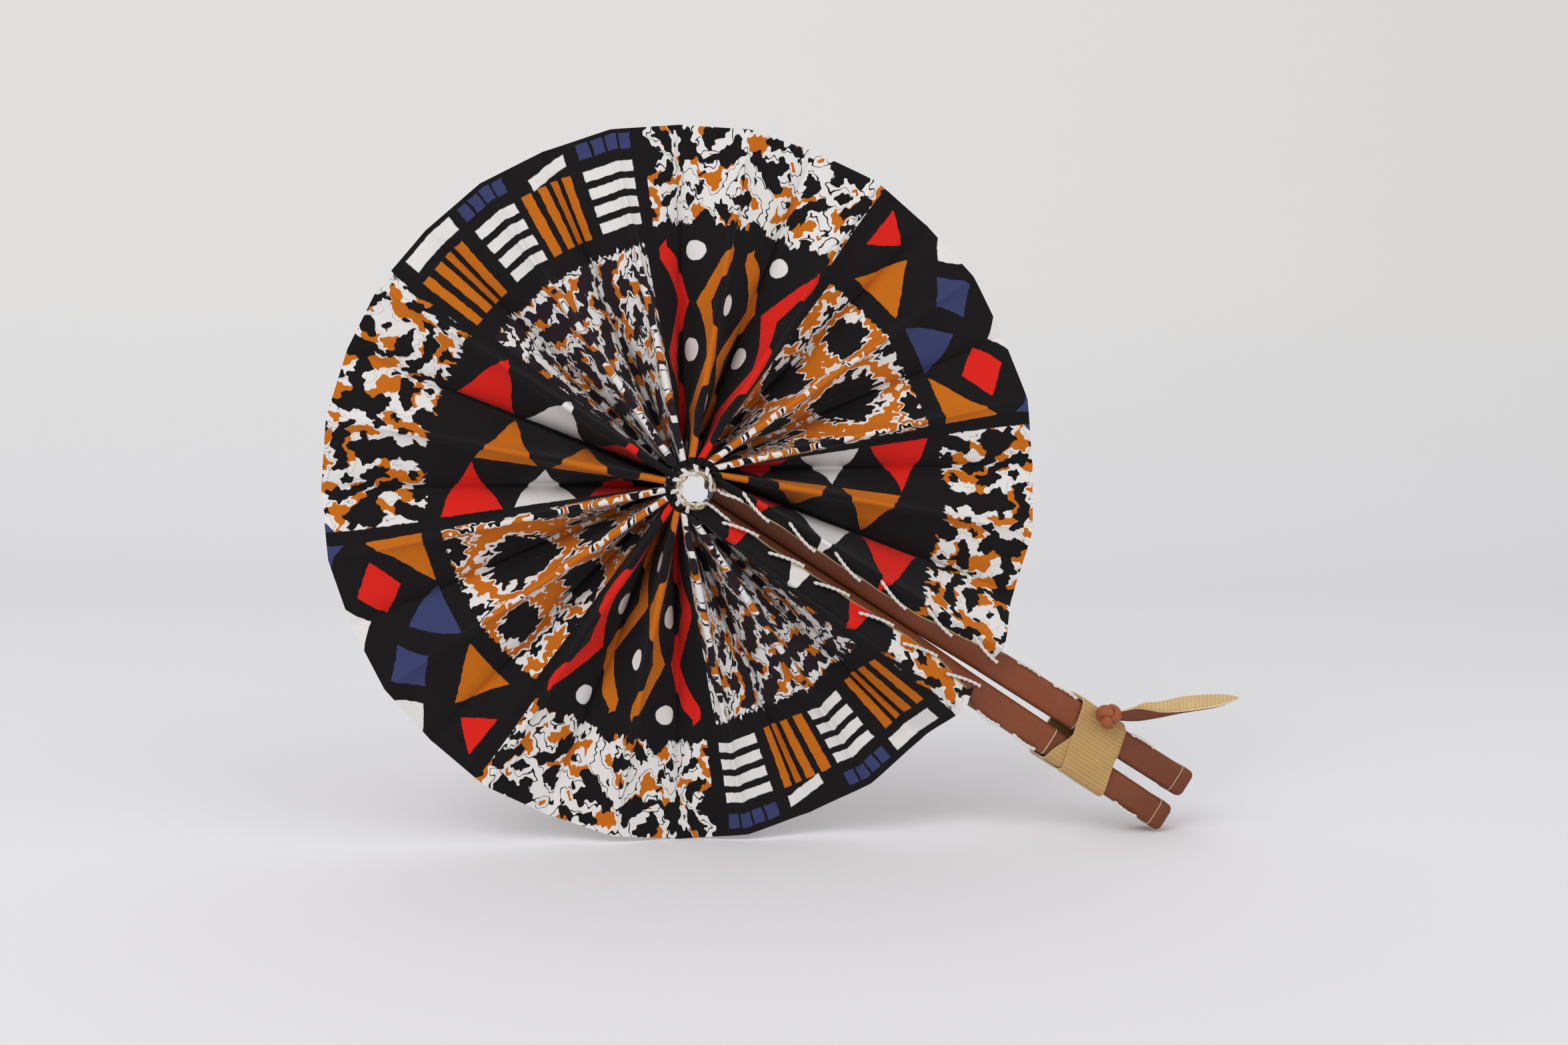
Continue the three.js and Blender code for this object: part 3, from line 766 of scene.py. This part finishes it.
def sewn(paths, tree, values):
    source = curveObject("sewn", paths)
    setInputs(source, tree, values)
    return plain(source)


def joined(name, parts):
    edit = bmesh.new()
    finishes = []
    for part in parts:
        count = len(edit.faces)
        edit.from_mesh(part.data)
        edit.faces.ensure_lookup_table()
        own = list(part.data.materials)
        finishes += [finish for finish in own if finish not in finishes]
        for face in edit.faces[count:]:
            face.material_index = finishes.index(own[face.material_index])
    mesh = bpy.data.meshes.new(name)
    edit.to_mesh(mesh)
    edit.free()
    for finish in finishes:
        mesh.materials.append(finish)
    for part in parts:
        bpy.data.objects.remove(part)
    return placed(name, mesh)


def cordValues(radius, offset, pitch, finish):
    return {"Ply radius": radius * mm, "Ply offset": offset * mm, "Twist pitch": pitch * mm,
            "Finish": finish}


cordTree = twistedCordTree()
stitchTree = stitchRowTree(cordTree)
stitchCord = cordValues(0.36, 0.3, 4.2, waxedCord)
laceCord = cordValues(0.42, 0.33, 8, waxedCord)
edgeCord = cordValues(0.27, 0.22, 5, cutEdge)


hubBand = {
    "innerRadius": 6.7,
    "thickness": 0.7,
    "steps": 10,
    "chamfer": 0.2,
    "proud": 0.1,
    "wave": 0.25,
    "laceRadius": (5.8, 7),  # on the front and on the back
    "laceProud": 0.4,
    "laceSteps": 14,
    "laceSwing": 0.78,
    "laceWinds": 4.3,  # whole turns of the two cords round each other in one round of the hub
    "laceOverlap": 8,  # degrees by which the first and last lace run on towards the guards
    "guardLaceFrom": 27,
    "tie": ((0.2, 0.9), (0.9, 1.1), (1.8, 0.6), (2.5, -0.6)),  # outwards from the lace, and lift over it
    "tieStart": 0.1,
    "tieSlant": 0.16,
    "lugFrom": 2.2,
    "lugSteps": 8,
    "lugProud": 0.3,
}
bandInner = hubBand["innerRadius"]
bandOuter = bandInner + hubBand["thickness"]


# The leather band from the middle of one length to the middle of the next
def bandSegment(j):
    cut = hubBand["chamfer"]
    rings = []
    for i in range(hubBand["steps"] + 1):
        angle = ringStart + 4 * ringStep * (j + i / hubBand["steps"])
        d = halfDepth + hubBand["proud"] + hubBand["wave"] * math.sin(angle / 2)
        half = [(bandInner, cut - d), (bandInner + cut, -d), (bandOuter - cut, -d), (bandOuter, cut - d)]
        section = half + [(radius, -depth) for radius, depth in half[::-1]]
        rings.append([roundHub(angle, radius, depth) for radius, depth in section])
    made = loft(f"hubBand_{j}", rings, [innerLeather, cutEdge],
                lambda r, i: 1 if i in (0, 6) else 0)
    if j:
        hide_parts(f"hub_band_{j}")
    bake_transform(made)


# A white cord and the band's raw edge, twisted round each other along the ring on both faces
def ringCords(fromAngle, toAngle, ties=()):
    white, pale = list(ties), []
    swing = hubBand["laceSwing"]
    for face, ringRadius in zip((-1, 1), hubBand["laceRadius"]):
        for start, paths in ((0, white), (math.pi, pale)):
            path = []
            for i in range(hubBand["laceSteps"] + 1):
                angle = mix(fromAngle, toAngle, i / hubBand["laceSteps"])
                turn = math.radians(angle) * hubBand["laceWinds"] + start
                depth = face * (halfDepth + hubBand["laceProud"]) + swing * math.sin(turn)
                path.append(roundHub(angle, ringRadius + swing * math.cos(turn), depth))
            paths.append(path)
    return [sewn(white, cordTree, laceCord), sewn(pale, cordTree, edgeCord)]


# The cords of one length of the band, with a tie over it on each face
def hubLace(j):
    middle = ringStart + 4 * ringStep * j
    half = 2 * ringStep
    fromAngle = middle - half - (hubBand["laceOverlap"] if j == 1 else 0)
    toAngle = middle + half + (hubBand["laceOverlap"] if j == 7 else 0)
    ties = []
    for face, ringRadius in zip((-1, 1), hubBand["laceRadius"]):
        ties.append([])
        for reach, lift in hubBand["tie"]:
            angle = middle + half * (hubBand["tieStart"] + reach * hubBand["tieSlant"])
            depth = face * (halfDepth + hubBand["laceProud"]) + face * lift
            ties[-1].append(roundHub(angle, ringRadius + reach, depth))
    lace = joined(f"hubLace_{j}", ringCords(fromAngle, toAngle, ties))
    lace.data.shade_smooth()
    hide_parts(f"hub_lace_{j}")
    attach(lace, chain[j])


for j in range(8):
    bandSegment(j)
for j in range(1, 8):
    hubLace(j)
print("hub bound: 8 lengths of band, 7 laces")


guard = {
    "stickLength": 211,
    "gapAtHub": 0.25,
    "bow": 4e-5,
    "thickness": 10.6,
    "halfDepth": 6.2,
    "leather": 0.9,
    "flangeEnd": 121,
    "end": {"upper": 162, "lower": 157.5},
    "capStart": 205.3,
    "rows": 60,
    "corner": 2.1,
    "edge": {"upper": 5.1, "lower": 2.3},  # where the leather's raw edge lies near the hub
    # by how much it moves out, from where and over what length
    "widen": {"upper": (2.6, 85, 36), "lower": (3.6, 101, 22)},
    "edgeSlope": 0.006,
    "edgeWave": 0.18,
    "edgePhase": 1.2,
    "closedGap": 0.06,
    "opening": (92, 30),  # from where and over what length the gap between the two guards opens
    "flangeKnee": 0.45,
    "flangeUnder": 0.2,
    "flangeBend": 0.8,
    "closing": 9,  # the length over which the flange turns into a tube
    "seamHalf": 0.35,
    "cutLength": 0.45,
    "hemTuck": 1.4,
    "hemGap": 0.05,
    "hemColumns": 7,
    "backSetback": 0.6,
    "sleeveRows": 24,
    "sleeveUnder": (3, 1),  # how far it runs on under the guard's leather and under the cap
    "sleeveInset": 0.25,
    "sleeveCorner": 2,
    "sleeveWave": 0.12,
    # share of the cap's length, and how far the cap is drawn in there
    "cap": ((0, 0.5), (0.001, 0.05), (0.04, -0.05), (0.5, 0), (0.72, 0.1), (0.86, 0.5), (0.95, 1.1),
            (1, 2.1)),
}


def matingFace(along):
    return guard["gapAtHub"] + guard["bow"] * along * along


# The leather of the two guards lies edge to edge near the hub
def leatherFace(along):
    start, length = guard["opening"]
    return mix(guard["closedGap"], matingFace(along), smooth((along - start) / length))


def firstCreaseAcross(along):
    start = math.sqrt(fan["hubRadius"] ** 2 - fan["hubHalfWidth"] ** 2)
    return fan["hubHalfWidth"] + (along - start) * math.tan(math.radians(fan["guardSpread"]))


# Cuts each inner corner of a flat line of points with a short curve
def rounded(line, radius, steps=5):
    made = [line[0]]
    for before, corner, after in zip(line, line[1:], line[2:]):
        behind, ahead = before - corner, after - corner
        reach = min(radius, behind.length * 0.49, ahead.length * 0.49)
        p = corner + behind.normalized() * reach
        q = corner + ahead.normalized() * reach
        for i in range(steps + 1):
            share = i / steps
            made.append(p.lerp(corner, share).lerp(corner.lerp(q, share), share))
    made.append(line[-1])
    return made


# The raw edge of the leather beside the cloth: behind, it covers the whole stick
def leatherEdge(place, along, face=-1):
    if face == 1:
        return firstCreaseAcross(along) - guard["backSetback"]
    wider, start, length = guard["widen"][place]
    spread = wider * smooth((along - start) / length) + guard["edgeSlope"] * along
    turn = 2 * math.pi * along / cords["stitchPitch"] + guard["edgePhase"]
    return guard["edge"][place] + spread + guard["edgeWave"] * math.sin(turn)


# How far in front of the fan's middle the leather stands beside the cloth
def flangeDepth(along, across):
    inner = leatherFace(along) + guard["leather"] / 2
    outer = firstCreaseAcross(along)
    low = guard["halfDepth"] - guard["leather"] / 2
    share = min(1, (across - inner) / (outer - inner)) ** guard["flangeBend"]
    return mix(low, halfDepth - guard["flangeUnder"], share)


# The leather's section: a channel over the stick beside the cloth, and closed round it further out
def guardSection(place, along):
    crest = leatherFace(along) + guard["leather"] / 2
    half = guard["halfDepth"] - guard["leather"] / 2
    closing = smooth((along - guard["flangeEnd"] + 1) / guard["closing"])
    outer = matingFace(along) + guard["thickness"] - guard["leather"] / 2
    shut = [Vector((outer, guard["seamHalf"])), Vector((outer, half)), Vector((crest, half))]
    line = []
    for face in (-1, 1):
        edge = leatherEdge(place, along, face)
        knee = mix(edge, crest, guard["flangeKnee"])
        beside = [Vector((x, flangeDepth(along, x))) for x in (edge, knee, crest)]
        flange = [a.lerp(b, closing) for a, b in zip(beside, shut)]
        line += [Vector((p.x, face * p.y)) for p in flange[::-face]]
    line = rounded(line, guard["corner"])
    faces = [[], []]
    for i, p in enumerate(line):
        before = line[max(0, i - 1)]
        after = line[min(len(line) - 1, i + 1)]
        way = (after - before).normalized()
        normal = Vector((-way.y, way.x))
        wall = guard["leather"] / 2
        faces[0].append(p + normal * wall)
        faces[1].append(p - normal * wall)
    return faces[0] + faces[1][::-1]


def guardLeather(place, side):
    rings = []
    ringMiddle = bandInner + hubBand["thickness"] / 2
    end = guard["end"][place]
    shares = [row / guard["rows"] for row in range(guard["rows"])] + [1 - guard["cutLength"] / end, 1]
    for share in shares:
        section = guardSection(place, mix(ringMiddle, end, share))
        ring = []
        for p in section:
            hubEnd = math.sqrt(max(ringMiddle ** 2 - p.x ** 2, 0))
            ring.append(onStick(side, mix(hubEnd, end, share), p.x, p.y))
        rings.append(ring)
    count = len(rings[0])
    edges = (count // 2 - 1, count - 1, -1)
    made = loft(f"guardLeather_{place}", rings, [leather, cutEdge],
                lambda r, i: 1 if (r and i in edges) or r == guard["rows"] else 0)
    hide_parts(f"guard_leather_{place}")
    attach(made, f"{place}_guard")


# The end of the cloth, tucked under the leather's raw edge
def clothHem(place, side):
    columns = guard["hemColumns"]
    crease = clothCrease(0 if side == 1 else fan["foldCount"])
    points = []
    fabric = []
    for row in range(cloth["rows"]):
        share = mix(cloth["hubStart"] / fan["clothWidth"], 1, row / (cloth["rows"] - 1))
        offset = (crease[0].lerp(crease[1], share) - Vector(fan["hub"]) * mm) / mm
        along, across = offset.dot(down), offset.dot(up) * side
        inner = leatherEdge(place, along) - guard["hemTuck"]
        for i in range(columns):
            t = i / (columns - 1)
            x = mix(across, inner, t)
            sunk = (guard["leather"] / 2 + cloth["thickness"] / 2 + guard["hemGap"]) * smooth(t * 3)
            depth = mix(halfDepth, flangeDepth(along, x), smooth(t * 3)) - sunk
            alongHere = max(along, math.sqrt(max(0, cloth["innerRadius"] ** 2 - x ** 2)))
            points.append(onStick(side, alongHere, x, -depth))
            beyond = t * (across - inner)
            fabric.append(((-beyond if side == 1 else fan["foldCount"] * fan["foldDepth"] + beyond) * mm,
                           share * fan["clothWidth"] * mm))
    faces = []
    for row in range(cloth["rows"] - 1):
        for i in range(columns - 1):
            a = row * columns + i
            faces.append((a, a + 1, a + columns + 1, a + columns))
    made = meshObject(f"clothHem_{place}", points, faces, [cotton], sharp=180)
    addUv(made, "fabric", fabric)
    addWall(made, cloth["thickness"])
    return plain(made)


def roundSection(fromX, toX, half, radius, steps=5):
    points = []
    for cx, cy, start in ((toX - radius, half - radius, 0), (fromX + radius, half - radius, 90),
                          (fromX + radius, radius - half, 180), (toX - radius, radius - half, 270)):
        for i in range(steps + 1):
            a = math.radians(start + 90 * i / steps)
            points.append(Vector((cx + radius * math.cos(a), cy + radius * math.sin(a))))
    return points


# The lug of leather that laps round the stick's hub end
def guardLug(place, side):
    rings = []
    steps = hubBand["lugSteps"]
    for i in range(steps + 1):
        angle = side * mix(hubBand["lugFrom"], ringStart, i / steps)
        half = mix(guard["halfDepth"] + hubBand["lugProud"], halfDepth, smooth(i / (steps - 1)))
        section = [(bandInner, -half), (bandOuter, -half), (bandOuter, half), (bandInner, half)]
        rings.append([roundHub(angle, radius, depth) for radius, depth in section])
    made = loft(f"guardLug_{place}", rings, [innerLeather])
    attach(made, f"{place}_guard")


# A section round the whole stick, drawn in all round by inset
def wholeSection(along, inset, radius):
    crest = matingFace(along)
    outer = crest + guard["thickness"]
    return roundSection(crest + inset, outer - inset, guard["halfDepth"] - inset, radius)


def handleSleeve(place, side):
    rings = []
    underGuard, underCap = guard["sleeveUnder"]
    for row in range(guard["sleeveRows"] + 1):
        share = row / guard["sleeveRows"]
        along = mix(guard["end"][place] - underGuard, guard["capStart"] + underCap, share)
        ring = []
        for p in wholeSection(along, guard["sleeveInset"], guard["sleeveCorner"]):
            crumple = noise.noise(Vector((along * 0.12, p.x * 0.2, p.y * 0.2 + side)))
            wave = guard["sleeveWave"] * crumple
            ring.append(onStick(side, along, p.x + wave, p.y + wave))
        rings.append(ring)
    made = loft(f"handleSleeve_{place}", rings, [sleeveLeather])
    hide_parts(f"handle_sleeve_{place}")
    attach(made, f"{place}_guard")


def endCap(place, side):
    rings = []
    start = guard["capStart"]
    length = guard["stickLength"] - start
    for share, inset in guard["cap"]:
        along = start + share * length
        section = wholeSection(along, inset, guard["corner"] - inset / 2)
        rings.append([onStick(side, along, p.x, p.y) for p in section])
    made = loft(f"endCap_{place}", rings, [sleeveLeather, cutEdge],
                lambda r, i: 1 if r < 2 and i >= 0 else 0)
    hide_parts(f"end_cap_{place}")
    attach(made, f"{place}_guard")


# Slanting stitches from the cloth to the leather's raw edge, and running stitches down the handle
def guardStitches(place, side):
    parts = []

    def sewRow(seam, pitch, rise, reach):
        values = {"Step": pitch * mm, "Rise": rise, "Reach": reach, **stitchCord}
        parts.append(sewn([seam], stitchTree, values))

    asides = (cords["stitchAside"][place], cords["backAside"])
    startLift, endLift = cords["lifts"]
    for face, aside, tucked in zip((-1, 1), asides, cords["tucked"]):
        seam = []
        ends = []
        for along in cords["seam"]:
            x = leatherEdge(place, along, face) + aside
            seam.append(onStick(side, along, x, face * (flangeDepth(along, x) + startLift)))
            x = leatherEdge(place, along + cords["stitchReach"], face) - tucked
            depth = flangeDepth(along + cords["stitchReach"], x) + endLift
            ends.append(onStick(side, along + cords["stitchReach"], x, face * depth))
        reach = ends[1] - seam[1]
        onward = down * reach.dot(down)
        on, off, lift = cords["arch"]
        rise = onward * on + (reach - onward) * off + back * face * lift * mm
        sewRow(seam, cords["stitchPitch"], rise, reach)
    for run in cords["runs"][place]:
        seam = []
        for along in run:
            x = matingFace(along) + guard["thickness"] - cords["runInset"]
            seam.append(onStick(side, along, x, -cords["runDepth"]))
        reach = (down * cords["runReach"] + up * side * cords["runSlant"]) * mm
        on, out, forward = cords["runArch"]
        rise = reach * on + (up * side * out - back * forward) * mm
        sewRow(seam, cords["runPitch"], rise, reach)
    lead = []
    for along, share, lift in cords["lead"]:
        x = leatherEdge(place, along) * share
        lead.append(onStick(side, along, x, -(flangeDepth(along, x) + lift)))
    parts.append(sewn([lead], cordTree, stitchCord))
    parts += ringCords(side * hubBand["guardLaceFrom"],
                       side * (ringStart + 2 * ringStep - hubBand["laceOverlap"]))
    made = joined(f"guardStitches_{place}", parts)
    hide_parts(f"guard_stitches_{place}")
    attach(made, f"{place}_guard")


pleatTree = pleatStripTree()
for k in range(1, fan["foldCount"] + 1):
    clothFold(k)
print("cloth pleated:", fan["foldCount"], "strips")
for place, side in (("upper", 1), ("lower", -1)):
    guardLeather(place, side)
    guardLug(place, side)
    handleSleeve(place, side)
    endCap(place, side)
    guardStitches(place, side)
    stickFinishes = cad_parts[f"stick_{place}"].data.materials
    stickFinishes.clear()
    stickFinishes.append(wood)
print("guards covered and sewn")


strap = {
    "width": 18.5,
    "thickness": 0.6,
    "halfAcross": 13.1,
    "halfDepth": 7.15,
    "layerStep": 0.65,
    "corner": 3,
    "rows": 12,
    "facetLength": 1.2,
    "edgeCurl": 0.25,
    "unevenness": 0.1,
    "frontUpper": 168.5,
    "frontLower": 175.5,
    "backLower": 166,
    "backUpper": 167,
    "underLayer": 8,  # how far the layer below shows at the lower edge
    "underFrom": 0.62,  # shares of the front's width, from which and over which it comes out
    "underOver": 0.6,
    "underDrop": 1,
}


# Faces of a band with a wall. Each cross-section is lanes points outside and then as many inside.
# marks gives the materials of its outside, its inside and its edges.
def bandFaces(count, lanes, marks, closed=False):
    faces = []
    kinds = []
    stride = 2 * lanes
    for i in range(count if closed else count - 1):
        a, b = i * stride, (i + 1) % count * stride
        c, d = a + lanes, b + lanes
        for lane in range(lanes - 1):
            faces.append((a + lane, a + lane + 1, b + lane + 1, b + lane))
            faces.append((c + lane + 1, c + lane, d + lane, d + lane + 1))
            kinds += marks[:2]
        faces.append((a, b, d, c))
        faces.append((d - 1, c - 1, a + stride - 1, b + stride - 1))
        kinds += [marks[2]] * 2
    for a in () if closed else (0, (count - 1) * stride):
        faces.append([a + i for i in range(lanes)] + [a + stride - 1 - i for i in range(lanes)])
        kinds.append(marks[2])
    return faces, kinds


# One turn of the strap round both handles: inset brings it nearer to them
def strapTurn(inset, underLayer):
    reach = strap["halfAcross"] - inset
    section = roundSection(-reach, reach, strap["halfDepth"] - inset, strap["corner"], 6)
    dense = []
    for a, b in zip(section, section[1:] + section[:1]):
        steps = max(1, round((b - a).length / strap["facetLength"]))
        dense += [a.lerp(b, i / steps) for i in range(steps)]
    count = len(dense)
    rows = strap["rows"]
    points = []
    uvs = []
    walked = 0
    for i, p in enumerate(dense):
        u = (p.x + strap["halfAcross"]) / (2 * strap["halfAcross"])
        v = smooth((p.y + strap["halfDepth"]) / (2 * strap["halfDepth"]))
        front = mix(strap["frontLower"], strap["frontUpper"], u)
        front += strap["underDrop"] if underLayer else 0
        front -= underLayer * smooth((strap["underFrom"] - u) / strap["underOver"])
        behind = mix(strap["backLower"], strap["backUpper"], u)
        middle = mix(front, behind, v)
        before, after = dense[i - 1], dense[(i + 1) % count]
        way = (after - before).normalized()
        normal = Vector((way.y, -way.x))
        walked += (p - before).length if i else 0
        for face in (1, -1):
            for row in range(rows + 1):
                share = row / rows * 2 - 1
                q = p + normal * face * strap["thickness"] / 2
                q = q + normal * strap["edgeCurl"] * share * share
                q = q + normal * strap["unevenness"] * noise.noise(Vector((walked * 0.1, share, 4)))
                along = middle + share * strap["width"] / 2
                points.append(onStick(1, along, q.x, q.y))
                uvs.append((along * mm, walked * mm))
    faces, marks = bandFaces(count, rows + 1, (0, 0, 1), closed=True)
    made = meshObject("strapTurn", points, faces, [webbing, paleEdge], marks, 60)
    addUv(made, "webbing", uvs)
    return made


def strapBand():
    made = joined("strapBand", [strapTurn(0, 0), strapTurn(strap["layerStep"], strap["underLayer"])])
    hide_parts("strap_band")
    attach(made, "strap")
    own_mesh(made)


knot = {
    "along": 168.8,
    "across": 12.7,
    "depth": -10.8,
    "size": 1.3,
    "loopReach": 2.5,
    "loopDepth": 2.1,
    "thongHalf": (1.15, 1.75),  # half its thickness and half its width
    "steps": 120,
    "sides": 14,
}
knotCentre = onStick(1, knot["along"], knot["across"], knot["depth"])


# An overhand knot in a flat thong
def strapKnot():
    steps, sides = knot["steps"], knot["sides"]
    reach, depth = knot["loopReach"], knot["loopDepth"]
    thick, wide = knot["thongHalf"]
    rings = []
    places = []
    for i in range(steps):
        t = 2 * math.pi * i / steps
        x = (math.sin(t) + 2 * math.sin(2 * t)) / 3
        z = (math.cos(t) - 2 * math.cos(2 * t)) / 3
        y = -math.sin(3 * t) / 1.7
        places.append(Vector((x * reach, y * depth, z * reach)) * knot["size"])
    for i, p in enumerate(places):
        way = (places[(i + 1) % steps] - places[i - 1]).normalized()
        sideways = way.cross(p.normalized()).normalized()
        out = sideways.cross(way).normalized()
        ring = []
        for s in range(sides):
            a = 2 * math.pi * s / sides
            q = p + (out * math.cos(a) * thick + sideways * math.sin(a) * wide) * knot["size"]
            ring.append(knotCentre + q * mm)
        rings.append(ring)
    made = loft("strapKnot", rings, [thongLeather], closed=True)
    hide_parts("strap_knot")
    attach(made, "strap")


tail = {
    "thickness": 0.8,
    "lean": 0.9,  # how far the tan half stands behind the fold
    # right of the knot: its lower edge, the top of the leather half and the top of the tan half
    "stations": (
        (1.5, -1.3, 1.1, 1.0), (5.3, -1.6, 1.9, 1.7), (9.7, -1.7, 2.7, 2.9), (13.5, -1.4, 2.3, 4.4),
        (19.8, -0.4, 1.3, 4.9), (28, 1.1, 1.7, 6.5), (38.7, 2.7, 3.1, 7.2), (45, 4.5, 4.7, 7),
        (48.8, 5.9, 5.95, 6.2)),
    "steps": 6,
    "foldRadius": 0.7,
    "thinEnd": 0.35,  # the wall's share of its thickness where the end runs out
}


# A smooth way from q to r, as it comes from p and goes on to s
def between(p, q, r, s, t):
    return 0.5 * (2 * q + (r - p) * t + (2 * p - 5 * q + 4 * r - s) * t * t
                  + (3 * q - p - 3 * r + s) * t ** 3)


# The free end, folded along its length: leather outside and tan inside
def strapTail():
    lines = []
    stations = tail["stations"]
    last = len(stations) - 1
    for i in range(last):
        near = [stations[max(0, min(last, i + n))] for n in (-1, 0, 1, 2)]
        for n in range(tail["steps"]):
            lines.append([between(*four, n / tail["steps"]) for four in zip(*near)])
    lines.append(stations[-1])
    points = []
    uvs = []
    for x, low, leatherTop, tanTop in lines:
        depthScale = min(1, (tanTop - low) / 4)
        line = rounded([
            Vector((leatherTop, -1.1 * depthScale)),
            Vector((mix(low, leatherTop, 0.5), -0.95 * depthScale)),
            Vector((low, -0.5 * depthScale)),
            Vector((low, 0.1)),
            Vector((mix(low, tanTop, 0.45), 0.6 * depthScale)),
            Vector((tanTop, tail["lean"] * depthScale)),
        ], tail["foldRadius"], 1)
        lanes = len(line)
        wall = mix(tail["thinEnd"], 1, depthScale)
        for face in (1, -1):
            for i, p in enumerate(line):
                way = (line[min(lanes - 1, i + 1)] - line[max(0, i - 1)]).normalized()
                q = p + Vector((-way.y, way.x)) * face * tail["thickness"] / 2 * wall
                points.append(knotCentre + Vector((x, q.y, q.x)) * mm)
                uvs.append(((q.x - low) * mm, x * mm))
    faces, marks = bandFaces(len(lines), lanes, (0, 1, 2))
    made = meshObject("strapTail", points, faces, [sleeveLeather, tailWebbing, paleEdge], marks, 50)
    addUv(made, "webbing", uvs)
    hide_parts("strap_tail")
    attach(made, "strap")


strapBand()
strapKnot()
strapTail()
print("strap tied")


view = {
    "target": (-7.67, 0, 112.09),
    "distance": 600,
    "side": 8.77,
    "height": 3.3,
    "roll": 0.79,
    "lens": 39.24,
    "sensor": 36,
    "clipStart": 0.01,
}


def setCamera():
    side, height = math.radians(view["side"]), math.radians(view["height"])
    level = math.cos(height)
    toward = Vector((math.sin(side) * level, math.cos(side) * level, -math.sin(height)))
    place = (Vector(view["target"]) - toward * view["distance"]) * mm
    right = toward.cross(Vector((0, 0, 1))).normalized()
    top = right.cross(toward)
    roll = math.radians(view["roll"])
    right, top = (right * math.cos(roll) + top * math.sin(roll),
                  top * math.cos(roll) - right * math.sin(roll))
    data = bpy.data.cameras.new("camera")
    data.lens = view["lens"]
    data.sensor_width = view["sensor"]
    data.clip_start = view["clipStart"]
    made = placed("camera", data)
    made.matrix_world = Matrix.Translation(place) @ Matrix((right, top, -toward)).transposed().to_4x4()
    bpy.context.scene.camera = made


room = {
    "halfWidth": 3,
    "front": -2.4,
    "back": 0.9,
    "bend": 0.7,
    "height": 2.6,
}


def setRoom():
    f = Finish("paleRoom", {"Roughness": 0.9, "Specular IOR Level": 0.1})
    place = f.place()
    _, _, z = f.split(place)
    drift = f.noise(place, 2.2, 2)
    rise = f.math("MULTIPLY", z, 3, clamp=True)
    tone = f.mixColour(rise, colour(242, 241, 245), colour(246, 245, 243))
    f.feed("Base Color", f.mixColour(drift * 0.12, tone, colour(232, 232, 231)))
    profile = [(room["front"], 0)]
    for i in range(13):
        a = math.radians(90 * i / 12)
        profile.append((room["back"] + room["bend"] * math.sin(a), room["bend"] * (1 - math.cos(a))))
    profile.append((room["back"] + room["bend"], room["height"]))
    points = [(x, y, z) for y, z in profile for x in (-room["halfWidth"], room["halfWidth"])]
    faces = [(2 * i, 2 * i + 1, 2 * i + 3, 2 * i + 2) for i in range(len(profile) - 1)]
    made = meshObject("paleRoom", points, faces, [f.material], sharp=180)
    if made.data.polygons[0].normal.z < 0:
        made.data.flip_normals()


lamps = {
    "key": {"place": (-1.1, -1.3, 1.5), "size": 1.4, "power": 16},
    "fill": {"place": (1.3, -1.4, 0.9), "size": 1.6, "power": 6},
}
lampTarget = Vector((0, 0, 0.12))
worldLevel = 0.62


def setLight():
    for name, values in lamps.items():
        data = bpy.data.lights.new(name, "AREA")
        data.size = values["size"]
        data.energy = values["power"]
        made = placed(name, data)
        place = Vector(values["place"])
        away = (place - lampTarget).normalized()
        made.matrix_world = Matrix.Translation(place) @ away.to_track_quat("Z", "Y").to_matrix().to_4x4()
    world = bpy.data.worlds.new("daylight")
    world.use_nodes = True
    sky = world.node_tree.nodes["Background"]
    sky.inputs["Color"].default_value = (1, 1, 1, 1)
    sky.inputs["Strength"].default_value = worldLevel
    bpy.context.scene.world = world


setCamera()
setRoom()
setLight()
bpy.context.scene.view_settings.view_transform = "Standard"
print("camera, room and lamps set")
